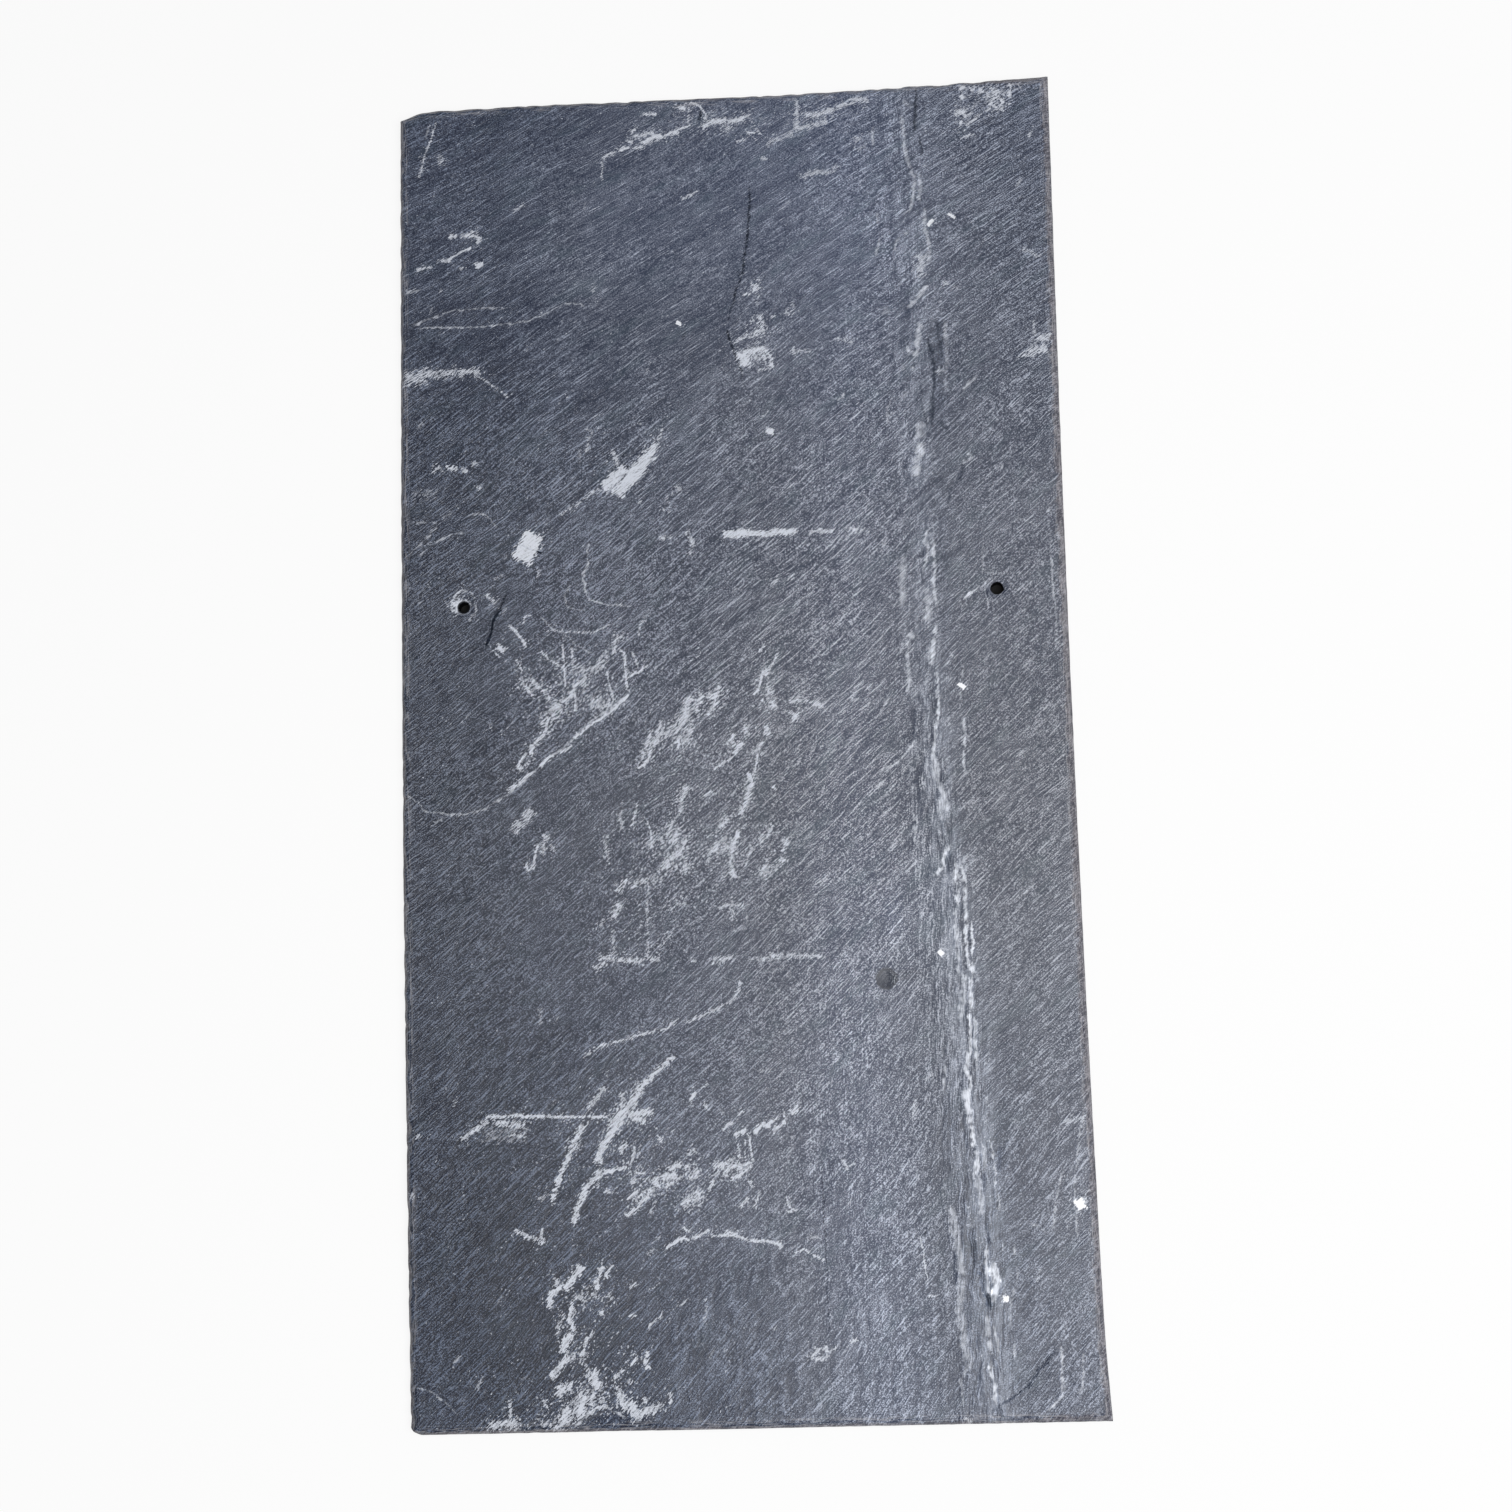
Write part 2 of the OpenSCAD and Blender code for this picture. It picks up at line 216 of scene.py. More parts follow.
UPPER_SCUFFS = [
    (1.2, 0.92, [(451, 238), (452.5, 235.5)]),
    (0.8, 0.85, [(455, 237.5), (457, 236)]),
    (1.2, 0.95, [(462.5, 236), (470, 236)]),
    (0.9, 0.9, [(472, 236), (476.5, 236.8), (481, 239), (476.5, 244)]),
    (0.8, 0.88, [(471, 234.5), (473, 232)]),
    (0.7, 0.95, [(449, 259.5), (455.5, 255), (464, 250.5), (470.5, 248.5)]),
    (1.0, 0.68, [(439.5, 262), (448.5, 260.5)]),
    (0.8, 0.85, [(426.5, 268.7), (431.3, 267.4)]),
    (0.8, 0.85, [(417, 270), (424, 268.7)]),
    (1.9, 1.05, [(477, 266), (481.5, 264.5)]),
    (0.7, 0.85, [(461, 269), (463, 267.5)]),
    (1.0, 0.5, [(408, 293), (419, 291)]),
    (1.2, 1.2, [(677, 323), (680, 324)]),
    (4.2, 0.74, [(409, 378), (422, 377)]),
    (3.0, 0.70, [(424, 374), (448, 374)]),
    (2.0, 0.72, [(448, 373), (477, 372)]),
    (0.6, 0.6, [(477, 375), (508, 398)]),
    (2.4, 0.85, [(754, 289), (756, 287)]),
    (0.8, 0.75, [(744, 294.5), (750, 293)]),
    (0.7, 0.5, [(759, 294), (757, 305)]),
    (0.6, 0.7, [(756, 280), (759, 279), (760, 282)]),
    (0.9, 0.85, [(734, 343), (742.5, 337.5), (747, 334.5)]),
    (1.3, 0.8, [(752, 337), (757, 332), (762, 331)]),
    (1.2, 0.8, [(762, 331), (763, 323), (759.5, 316.5)]),
    (0.9, 0.8, [(753, 320), (758, 323)]),
    (0.7, 0.7, [(772, 316), (775.5, 315)]),
    (1.5, 0.75, [(787.5, 313), (791, 309)]),
    (1.0, 0.6, [(792, 306), (791.5, 303)]),
    (4.4, 1.0, [(742, 354), (744, 362)]),
    (2.0, 0.95, [(748, 352.5), (757, 350), (763, 348.5)]),
    (1.2, 0.9, [(764, 349), (771, 355), (771, 359)]),
    (0.9, 0.8, [(763.5, 355), (764.5, 361)]),
    (1.8, 0.6, [(754, 354), (756, 358)]),
    (1.4, 0.95, [(771.5, 364), (772, 367)]),
    (0.6, 0.75, [(757, 369.8), (768, 368.2)]),
    (1.4, 0.75, [(792.5, 349), (795, 352)]),
    (0.8, 0.6, [(799, 351), (811, 350)]),
    (1.2, 0.5, [(838, 338), (852, 341)]),
    (1.1, 1.2, [(949, 214), (954, 217)]),
    (1.1, 1.2, [(928, 225), (932, 221)]),
    (1.3, 0.6, [(944, 284), (947, 284)]),
    (1.3, 0.6, [(954, 287), (957, 287)]),
    (3.0, 0.7, [(921, 258), (921, 272)]),
    (2.0, 0.85, [(1037, 339), (1049, 337)]),
    (3.2, 0.85, [(1030, 352), (1043, 348)]),
    (1.2, 0.8, [(1023, 356), (1030, 354)]),
    (0.6, 0.6, [(1033, 320), (1034, 328), (1036, 335)]),
    (1.0, 0.5, [(1023, 249), (1039, 256)]),
    (5.0, 1.05, [(619, 491), (634, 475), (648, 457)]),
    (2.6, 1.0, [(648, 457), (656, 446)]),
    (0.9, 0.8, [(656, 444), (660, 437)]),
    (0.7, 0.8, [(658, 436), (663, 431)]),
    (4.0, 1.05, [(606, 486), (614, 479), (624, 470)]),
    (1.0, 0.7, [(612, 452), (619, 466)]),
    (0.8, 0.5, [(588, 430), (592, 434)]),
    (0.7, 0.5, [(590, 438), (588, 448), (585, 453)]),
    (7.2, 1.12, [(532, 539), (523, 556)]),
    (0.8, 0.6, [(598, 489), (580, 502), (562, 514)]),
    (0.8, 0.5, [(640, 503), (642, 506)]),
    (1.2, 0.6, [(678, 487), (680, 491)]),
    (1.0, 0.6, [(666, 497), (668, 500)]),
    (1.2, 0.6, [(663, 508), (665, 511)]),
    (1.2, 0.6, [(661, 538), (668, 537)]),
    (1.0, 0.65, [(686, 532), (690, 538), (693, 545), (690, 555)]),
    (0.7, 0.75, [(450.5, 602.3), (453.7, 597.9), (457.9, 593.1), (461.7, 590.2)]),
    (0.6, 0.55, [(461.7, 590.2), (467.7, 592.1), (472.5, 594), (475.1, 599.8)]),
    (0.6, 0.5, [(473.8, 604.9), (476.7, 608.7), (475.1, 612.8), (471.9, 617.3), (469.3, 620.5)]),
    (1.2, 1.0, [(452.8, 603.8), (456.6, 602.6), (462, 600.1)]),
    (1.0, 0.95, [(455.9, 604.2), (455.6, 612.5)]),
    (0.7, 0.85, [(451, 605.5), (452.3, 610.6)]),
    (0.6, 0.7, [(464.2, 600.4), (467.4, 601.4)]),
    (1.6, 0.8, [(435, 469), (441, 469)]),
    (1.4, 0.8, [(448, 469), (455, 469)]),
    (1.2, 0.7, [(463, 470), (466, 470)]),
    (1.2, 0.6, [(474, 465), (476, 465)]),
    (2.6, 0.3, [(417, 496), (435, 495)]),
    (0.6, 0.4, [(410, 522), (439, 523)]),
    (2.6, 1.0, [(725, 534), (740, 534), (750, 533)]),
    (2.0, 0.95, [(750, 533), (765, 534), (778, 532), (795, 531)]),
    (1.4, 0.8, [(810, 532), (832, 531)]),
    (1.2, 0.7, [(852, 530), (856, 530)]),
    (1.1, 0.7, [(861, 531), (863, 531)]),
    (1.1, 0.7, [(868, 531), (870, 531)]),
    (2.0, 1.1, [(768, 430), (772, 431)]),
    (1.8, 0.7, [(772, 582), (777, 580)]),
    (1.4, 0.6, [(789, 577), (792, 577)]),
    (1.1, 0.6, [(1047, 510), (1049, 510)]),
    (1.1, 0.6, [(1058, 535), (1060, 535)]),
]
MIDDLE_SCUFFS = [
    (1.0, 0.9, [(508.5, 626), (514.5, 629.5), (519, 635.5), (523.5, 640), (525.5, 646.5)]),
    (1.9, 0.93, [(498, 646.5), (504, 649.5)]),
    (0.6, 0.8, [(492.5, 650), (498.5, 656)]),
    (0.6, 0.85, [(516.5, 660.5), (522.5, 671)]),
    (0.5, 0.8, [(520, 679), (523.5, 682.5)]),
    (0.8, 0.92, [(525.5, 686), (531.5, 696)]),
    (0.7, 0.95, [(562, 645.5), (564.5, 667.5), (565, 687)]),
    (0.5, 0.85, [(541, 651.5), (549, 659.5), (562.5, 667.5)]),
    (1.3, 0.85, [(532, 681), (538.5, 688)]),
    (1.2, 0.88, [(542, 690), (545, 691)]),
    (1.0, 0.8, [(547, 694), (550, 699)]),
    (0.9, 0.88, [(607.5, 652), (606, 658)]),
    (2.3, 0.76, [(604, 661), (598, 668)]),
    (2.6, 0.64, [(592, 668), (577, 670)]),
    (1.6, 0.76, [(585.5, 676.5), (581, 683.5)]),
    (1.3, 0.93, [(578.5, 683.5), (574, 689), (569.5, 697)]),
    (0.8, 0.93, [(574.5, 690.5), (575.5, 702), (574.5, 711)]),
    (1.0, 0.85, [(587, 686), (583.5, 690.5)]),
    (1.0, 0.88, [(560.5, 703), (561.5, 713)]),
    (0.9, 0.8, [(569.5, 697), (560.5, 702)]),
    (2.4, 0.78, [(556, 705), (553, 717)]),
    (0.9, 0.9, [(547.5, 717), (546.5, 733)]),
    (0.8, 0.85, [(542, 718), (542, 725)]),
    (1.2, 0.9, [(545, 734), (541, 738), (536.5, 744)]),
    (1.4, 0.95, [(532.5, 746), (532, 754)]),
    (1.0, 0.92, [(525, 756), (520, 760.5), (518, 768)]),
    (0.9, 0.9, [(517, 769), (522.5, 768.5)]),
    (0.5, 0.7, [(522.5, 766), (531.5, 759)]),
    (1.0, 0.95, [(628, 695), (621, 702), (608, 714)]),
    (0.7, 0.93, [(607, 714.5), (590, 726), (574, 737.5)]),
    (0.8, 0.95, [(571, 746.5), (560.5, 752.5)]),
    (1.1, 0.93, [(551, 756), (546.5, 760.5), (541, 765)]),
    (1.0, 0.9, [(530.5, 773), (526, 776.5), (519, 783.5)]),
    (1.2, 0.9, [(516.5, 785.5), (508.5, 790)]),
    (1.1, 0.93, [(619, 635.5), (614.5, 642), (614.5, 652.5)]),
    (1.0, 0.9, [(619, 638), (622, 637)]),
    (0.8, 0.9, [(619, 650), (624.5, 653.5), (626, 665), (625, 674.5), (626.5, 687)]),
    (0.6, 0.88, [(607.5, 672), (608.5, 683.5), (613, 696)]),
    (2.2, 0.68, [(592, 702), (602, 700)]),
    (1.6, 0.7, [(594, 708), (604, 708)]),
    (1.0, 0.85, [(609, 703.5), (610.5, 704.5)]),
    (0.5, 0.7, [(551, 630.5), (562.5, 632), (574, 633), (595, 632), (609.5, 625)]),
    (0.5, 0.85, [(523.5, 622.5), (524, 617), (529.5, 615.5)]),
    (0.6, 0.8, [(572, 648), (573.5, 661.5)]),
    (0.5, 0.85, [(650, 615.5), (641, 622), (639.5, 635.5)]),
    (0.5, 0.75, [(632.5, 652.5), (637.5, 667.5)]),
    (0.6, 0.85, [(627, 677.5), (638.5, 673), (647.5, 665)]),
    (2.2, 0.85, [(690, 699), (686, 703), (686, 716)]),
    (2.6, 0.83, [(686, 716), (679, 724)]),
    (2.5, 0.78, [(677, 726), (672, 730), (662, 734.5)]),
    (1.9, 0.82, [(691.5, 729), (683.5, 744.5)]),
    (0.8, 0.85, [(678.5, 740), (678.5, 750)]),
    (1.0, 0.85, [(661, 722), (658, 731.5), (658, 740)]),
    (1.1, 0.83, [(651, 730.5), (647, 747)]),
    (1.8, 0.88, [(656, 741), (651, 748)]),
    (0.9, 0.95, [(651, 750), (648.5, 761), (644, 766.5), (638, 767.5)]),
    (1.2, 0.68, [(643, 751), (641.5, 759)]),
    (1.6, 0.76, [(701.5, 696.5), (696, 710.5)]),
    (1.7, 0.93, [(720, 688), (714, 698)]),
    (1.0, 0.88, [(710, 697), (711.5, 693.5)]),
    (1.4, 0.92, [(716.5, 702.5), (707, 715)]),
    (0.8, 0.95, [(762, 677), (757.5, 689.5), (754, 694.5)]),
    (0.7, 0.75, [(777, 655), (768, 670)]),
    (1.3, 0.85, [(764, 674), (767, 671)]),
    (1.8, 0.72, [(770.5, 687), (769, 699.5)]),
    (0.8, 0.8, [(762, 699.5), (766, 703.5)]),
    (1.2, 0.9, [(773, 702), (774.5, 706)]),
    (1.1, 0.88, [(795, 701), (798.5, 700.5)]),
    (2.6, 0.92, [(795, 714), (796, 718)]),
    (2.2, 0.85, [(746.5, 727), (746, 732)]),
    (1.7, 0.93, [(734, 736), (731, 742)]),
    (1.9, 0.93, [(741, 744), (734, 753)]),
    (0.9, 0.88, [(733, 755), (728.5, 761)]),
    (0.8, 0.93, [(725.5, 762), (715.5, 769)]),
    (2.1, 0.83, [(766, 726), (768, 734)]),
    (1.0, 0.78, [(762, 741.5), (753.5, 753)]),
    (1.0, 0.88, [(757, 755.5), (755, 771)]),
    (1.7, 0.93, [(749.5, 774), (750.5, 780)]),
    (1.7, 0.93, [(753, 783), (748, 790)]),
    (1.7, 0.9, [(749, 793), (746.5, 799)]),
    (1.0, 0.93, [(746, 802), (744.5, 808)]),
    (1.5, 0.95, [(743, 811), (741, 814)]),
    (1.5, 0.9, [(739.5, 833), (734.5, 842.5), (732.5, 851)]),
    (1.0, 0.85, [(731, 851), (731, 865)]),
    (1.8, 0.93, [(732, 870), (734, 877)]),
    (1.5, 0.88, [(726, 819), (722, 825)]),
    (0.7, 0.8, [(704, 795), (712, 791)]),
    (1.7, 0.85, [(686, 788), (680, 801)]),
    (0.9, 0.8, [(682, 806), (680.5, 809)]),
    (0.8, 0.85, [(672, 821.5), (666.5, 837)]),
    (1.5, 0.86, [(676.5, 834), (672, 842.5)]),
    (1.0, 0.78, [(661, 838.5), (663.5, 842.5)]),
    (0.9, 0.9, [(686, 841), (679, 853)]),
    (1.4, 0.85, [(679, 853.5), (670.5, 858)]),
    (2.0, 0.88, [(668, 862), (665, 868)]),
    (1.6, 0.78, [(687, 864), (685, 869)]),
    (1.9, 0.82, [(717, 845.5), (711.5, 851)]),
    (1.5, 0.72, [(724, 838.5), (727, 848)]),
    (1.0, 0.85, [(707.5, 861), (709.5, 857.5)]),
    (1.3, 0.83, [(651, 842), (651, 848)]),
    (0.5, 0.78, [(647.5, 821.5), (651, 841)]),
    (0.7, 0.8, [(636.5, 804.5), (634, 818.5), (631.5, 825.5)]),
    (0.9, 0.78, [(762, 834), (760, 846)]),
    (0.9, 0.75, [(752, 848), (745, 865)]),
    (0.9, 0.78, [(773, 825.5), (767.5, 837)]),
    (1.3, 0.82, [(785.5, 841), (783, 851)]),
    (1.5, 0.92, [(780.5, 860), (783, 862)]),
    (2.4, 0.76, [(767.5, 866.5), (763.5, 873.5)]),
    (1.4, 0.7, [(772, 869), (776, 868)]),
    (0.9, 0.85, [(772, 786), (775.5, 789)]),
    (1.6, 0.75, [(643, 881), (648, 879)]),
    (1.4, 0.78, [(655, 882), (658, 879)]),
    (1.2, 0.82, [(633, 887), (637, 882)]),
    (1.2, 0.7, [(795, 701), (807, 700), (820, 706)]),
    (1.2, 0.6, [(854, 700), (857, 700)]),
    (1.4, 0.8, [(760, 651), (765, 646)]),
    (1.0, 0.5, [(960, 602), (979, 586)]),
    (1.3, 1.4, [(960, 684.5), (963, 687.5)]),
    (1.0, 0.7, [(487, 595), (494, 602)]),
    (2.6, 0.72, [(531, 811), (515, 829)]),
    (1.0, 0.82, [(538, 845), (534, 860), (534, 867), (529, 871), (526, 865)]),
    (1.6, 0.68, [(546, 836), (543, 852)]),
    (1.2, 0.7, [(552, 847), (554, 847)]),
    (1.0, 0.6, [(620, 811), (620, 829)]),
    (1.0, 0.6, [(606, 836), (608, 865)]),
    (1.7, 0.75, [(624, 882), (618, 890)]),
    (2.1, 0.8, [(619, 906), (614, 916)]),
    (0.9, 0.65, [(604, 921), (598, 924)]),
    (0.9, 0.7, [(719, 908), (729, 904), (744, 905)]),
    (0.9, 0.65, [(731, 908), (733, 919)]),
    (0.8, 0.5, [(670, 908), (684, 902)]),
    (0.4, 0.6, [(648, 885), (647, 919), (648, 952)]),
    (1.6, 0.75, [(601, 958), (613, 958)]),
    (1.6, 0.8, [(618, 960), (640, 961)]),
    (1.4, 0.7, [(647, 958), (658, 960)]),
    (1.0, 0.6, [(660, 947), (669, 936)]),
    (1.0, 0.6, [(692, 961), (696, 961)]),
    (1.6, 0.75, [(714, 961), (731, 958)]),
    (1.2, 0.7, [(753, 958), (769, 958)]),
    (1.2, 0.75, [(771, 956), (822, 956)]),
    (1.6, 0.75, [(596, 968), (604, 963)]),
    (0.8, 0.5, [(613, 930), (613, 952)]),
    (1.5, 1.4, [(940.5, 951.5), (943, 954)]),
]
LOWER_SCUFFS = [
    (4.0, 0.96, [(622, 1114), (615, 1125)]),
    (1.9, 0.93, [(630, 1114), (651, 1112.5)]),
    (1.7, 0.9, [(634, 1117), (644, 1122)]),
    (0.8, 0.85, [(622, 1094), (622, 1108)]),
    (1.5, 0.9, [(627, 1143.5), (620.5, 1150)]),
    (1.3, 0.93, [(605, 1171.5), (614, 1170), (627, 1167)]),
    (1.8, 0.9, [(600, 1173), (586, 1186), (579, 1205), (573, 1222)]),
    (0.5, 0.8, [(634.5, 1147.5), (630.5, 1164)]),
    (1.2, 0.93, [(637, 1173.5), (644.5, 1173.5)]),
    (1.2, 0.85, [(632, 1182), (635.5, 1179)]),
    (1.2, 0.88, [(607.5, 1193), (609, 1191)]),
    (1.6, 0.92, [(670, 1169), (679, 1165)]),
    (2.7, 0.93, [(664, 1177), (675, 1175)]),
    (2.3, 0.93, [(655, 1179), (655, 1185)]),
    (1.4, 0.92, [(666.5, 1187), (671, 1182)]),
    (1.3, 0.95, [(652, 1191), (642, 1202), (637, 1208.5), (627, 1215.5)]),
    (0.8, 0.85, [(646, 1192), (638, 1197)]),
    (0.8, 0.88, [(637, 1191), (628, 1199.5)]),
    (0.9, 0.85, [(685.5, 1166.5), (689, 1166.5)]),
    (1.5, 0.85, [(696.5, 1170), (694, 1174.5)]),
    (1.3, 0.95, [(690.5, 1178), (693.5, 1177)]),
    (1.6, 0.95, [(715, 1166.5), (727, 1163.5)]),
    (0.9, 0.85, [(717.5, 1170), (718, 1174)]),
    (1.5, 0.95, [(729, 1167), (726, 1175)]),
    (1.5, 0.93, [(731, 1166), (741, 1166)]),
    (0.9, 0.88, [(741, 1166), (752, 1162)]),
    (1.3, 0.95, [(733, 1178), (742, 1173)]),
    (0.9, 0.88, [(742, 1173), (750, 1167)]),
    (0.7, 0.9, [(749, 1134.5), (750.5, 1147.5), (752.5, 1160)]),
    (0.6, 0.8, [(738, 1144), (739, 1157.5)]),
    (1.6, 0.97, [(745, 1130), (736, 1135)]),
    (1.0, 0.88, [(731.5, 1122.5), (722.5, 1129)]),
    (1.0, 0.85, [(738, 1114), (741, 1111.5)]),
    (1.5, 0.95, [(755.5, 1132), (760.5, 1124.5), (769.5, 1124.5)]),
    (1.0, 0.85, [(771, 1122), (777.5, 1117.5)]),
    (1.1, 0.88, [(773.5, 1131), (784.5, 1122)]),
    (1.8, 0.95, [(793, 1112), (798, 1109.5)]),
    (1.4, 0.93, [(714, 1182.5), (709, 1188)]),
    (1.5, 0.95, [(699, 1193), (697, 1199)]),
    (0.8, 0.85, [(697, 1199), (692, 1203)]),
    (1.5, 0.95, [(683, 1204.5), (688, 1199.5)]),
    (0.7, 0.85, [(689, 1196), (697, 1192)]),
    (1.0, 0.85, [(750, 1182), (752.5, 1187)]),
    (0.9, 0.8, [(748, 1198.5), (741.5, 1207)]),
    (0.9, 0.85, [(759.5, 1192), (754.5, 1206)]),
    (0.9, 0.93, [(787.5, 1211.5), (791.5, 1210.5)]),
    (1.1, 0.95, [(694.5, 1092.5), (690.5, 1101)]),
    (0.9, 0.85, [(705, 1105), (707.5, 1109)]),
    (0.9, 0.8, [(660.5, 1137), (661, 1141)]),
    (0.9, 0.8, [(688, 1154), (694.5, 1151)]),
    (1.1, 0.95, [(667, 1247.5), (682, 1237.5), (689, 1239)]),
    (0.8, 0.92, [(684, 1228), (690, 1231)]),
    (1.0, 0.95, [(694, 1238.5), (709, 1231)]),
    (0.9, 0.92, [(712.5, 1236), (735, 1235), (746.5, 1239)]),
    (1.0, 0.92, [(727, 1232), (737, 1234)]),
    (1.1, 0.95, [(750, 1240), (778, 1242.5), (780.5, 1247)]),
    (0.8, 0.88, [(795.5, 1252), (805, 1249), (809, 1254)]),
    (0.7, 0.85, [(812.5, 1256), (824, 1259.5)]),
    (0.8, 0.8, [(786, 1197), (789, 1207), (797, 1210)]),
    (0.8, 0.8, [(843, 1160), (847, 1168)]),
    (0.7, 0.78, [(851, 1166), (856, 1163)]),
    (0.9, 0.82, [(812, 1356), (818, 1350), (826, 1347)]),
    (0.9, 0.82, [(814, 1358), (822, 1361), (828, 1356)]),
    (0.8, 0.82, [(822, 1350), (830, 1352), (838, 1346)]),
    (0.9, 0.88, [(852, 1342), (857, 1340)]),
    (0.5, 0.88, [(920.5, 1237), (928, 1284)]),
    (0.6, 0.85, [(929, 1296), (937, 1296.5)]),
    (0.9, 0.7, [(584, 1056), (602, 1046), (635, 1036), (665, 1029), (678, 1019)]),
    (0.9, 0.7, [(687, 1022), (718, 1008), (734, 999), (740, 983)]),
    (1.5, 0.9, [(673, 1057), (653, 1075), (640, 1088)]),
    (2.6, 0.95, [(640, 1088), (635, 1099), (616, 1125), (600, 1151), (598, 1160)]),
    (1.2, 0.85, [(463, 1138.5), (475, 1130), (487, 1121)]),
    (1.0, 0.92, [(487, 1117), (520, 1116), (547, 1116.5), (565, 1117)]),
    (0.7, 0.9, [(565, 1117), (607, 1117)]),
    (1.6, 0.78, [(497, 1123), (523, 1124.5)]),
    (0.9, 0.78, [(511, 1135), (523.5, 1135)]),
    (4.6, 0.3, [(486, 1134), (520, 1133)]),
    (2.0, 0.83, [(582, 1125), (573, 1147)]),
    (1.5, 0.88, [(572, 1149), (562.5, 1171), (552, 1199)]),
    (1.2, 0.7, [(603, 1089), (587, 1109)]),
    (0.9, 0.6, [(700, 1088), (706, 1083)]),
    (1.4, 0.85, [(517, 1232), (532, 1237), (543, 1242)]),
    (1.0, 0.8, [(543, 1241), (541, 1231)]),
    (2.3, 0.95, [(581, 1267), (576, 1274), (569, 1284), (567, 1288)]),
    (1.8, 0.95, [(560, 1288), (551, 1294), (549.5, 1306)]),
    (1.0, 0.72, [(556, 1279), (557, 1284)]),
    (1.2, 0.95, [(603, 1266), (598.5, 1277), (596, 1288)]),
    (0.9, 0.88, [(612, 1265.5), (607, 1274), (607.5, 1278.5)]),
    (0.7, 0.85, [(595, 1281), (595, 1288)]),
    (1.5, 0.8, [(576, 1297), (582, 1297)]),
    (1.1, 0.72, [(586, 1296), (597, 1295)]),
    (1.4, 0.95, [(573, 1304), (571, 1312), (569.5, 1321), (574, 1329.5)]),
    (2.5, 0.97, [(570.5, 1334), (566.5, 1341), (563, 1351)]),
    (1.9, 0.93, [(566, 1358), (560.5, 1366), (552, 1377)]),
    (0.9, 0.78, [(575, 1356.5), (568, 1361)]),
    (1.0, 0.70, [(562.5, 1316), (558, 1332)]),
    (1.3, 0.92, [(588.5, 1338.5), (581.5, 1355)]),
    (0.6, 0.7, [(594, 1332), (591, 1338.5)]),
    (1.0, 0.75, [(581, 1364), (584, 1363)]),
    (2.9, 0.96, [(597, 1372), (593, 1380), (598, 1387)]),
    (1.6, 0.9, [(594, 1394), (591, 1404)]),
    (0.9, 0.8, [(588.5, 1370), (588.5, 1378)]),
    (3.4, 0.92, [(584, 1398), (580, 1412)]),
    (0.9, 0.8, [(582, 1391), (581.5, 1396)]),
    (0.7, 0.85, [(606.5, 1406), (597.5, 1407.5), (588.5, 1413), (577, 1420)]),
    (3.0, 0.92, [(568, 1410), (565, 1417), (563, 1423)]),
    (1.9, 0.85, [(560, 1424), (553, 1428.5)]),
    (1.4, 0.9, [(571.5, 1385), (567, 1389.5)]),
    (2.5, 0.93, [(562, 1388), (558, 1393)]),
    (0.9, 0.75, [(544.5, 1400), (544.5, 1406)]),
    (1.2, 0.7, [(542, 1423), (551, 1425)]),
    (1.3, 0.85, [(618, 1375), (615.5, 1379)]),
    (1.1, 0.85, [(636, 1360), (630.5, 1367)]),
    (0.8, 0.8, [(632, 1355), (635, 1354)]),
    (1.5, 0.85, [(630, 1381), (631, 1382)]),
    (1.5, 0.85, [(646, 1361), (648, 1368)]),
    (0.9, 0.85, [(647.5, 1352), (647.5, 1356)]),
    (1.3, 0.92, [(671, 1392), (671.5, 1402)]),
    (1.0, 0.8, [(601, 1398), (601.5, 1401)]),
    (1.0, 0.8, [(630.5, 1285.5), (637, 1284)]),
    (1.0, 0.8, [(631, 1315), (635, 1317)]),
    (1.2, 0.8, [(600, 1312), (602, 1311)]),
    (0.8, 0.7, [(649.5, 1327), (662, 1316)]),
    (1.0, 0.75, [(609, 1297), (611, 1298)]),
    (0.9, 0.8, [(510, 1401), (511, 1427)]),
    (3.0, 0.8, [(491, 1425), (515, 1424)]),
    (2.2, 0.93, [(621, 1395), (622, 1402), (625, 1409)]),
    (0.9, 0.8, [(617, 1389), (620, 1391)]),
    (3.3, 0.93, [(632, 1404), (635, 1412), (637, 1418)]),
    (2.3, 0.88, [(641, 1414), (650, 1410), (662, 1407)]),
    (1.2, 0.85, [(645, 1399), (645, 1402)]),
    (1.6, 0.6, [(1063, 1122), (1083, 1117)]),
    (1.2, 0.7, [(915, 1100), (914, 1117)]),
    (3.4, 1.4, [(1079.5, 1205), (1081.5, 1204)]),
    (1.2, 0.8, [(1083, 1200), (1087, 1192)]),
    (1.7, 1.4, [(1005, 1299), (1007, 1299)]),
    (1.2, 0.6, [(416, 1137), (418, 1137)]),
    (1.2, 0.6, [(411, 1196), (413, 1196)]),
    (1.6, 0.8, [(967, 1421), (971, 1421)]),
]
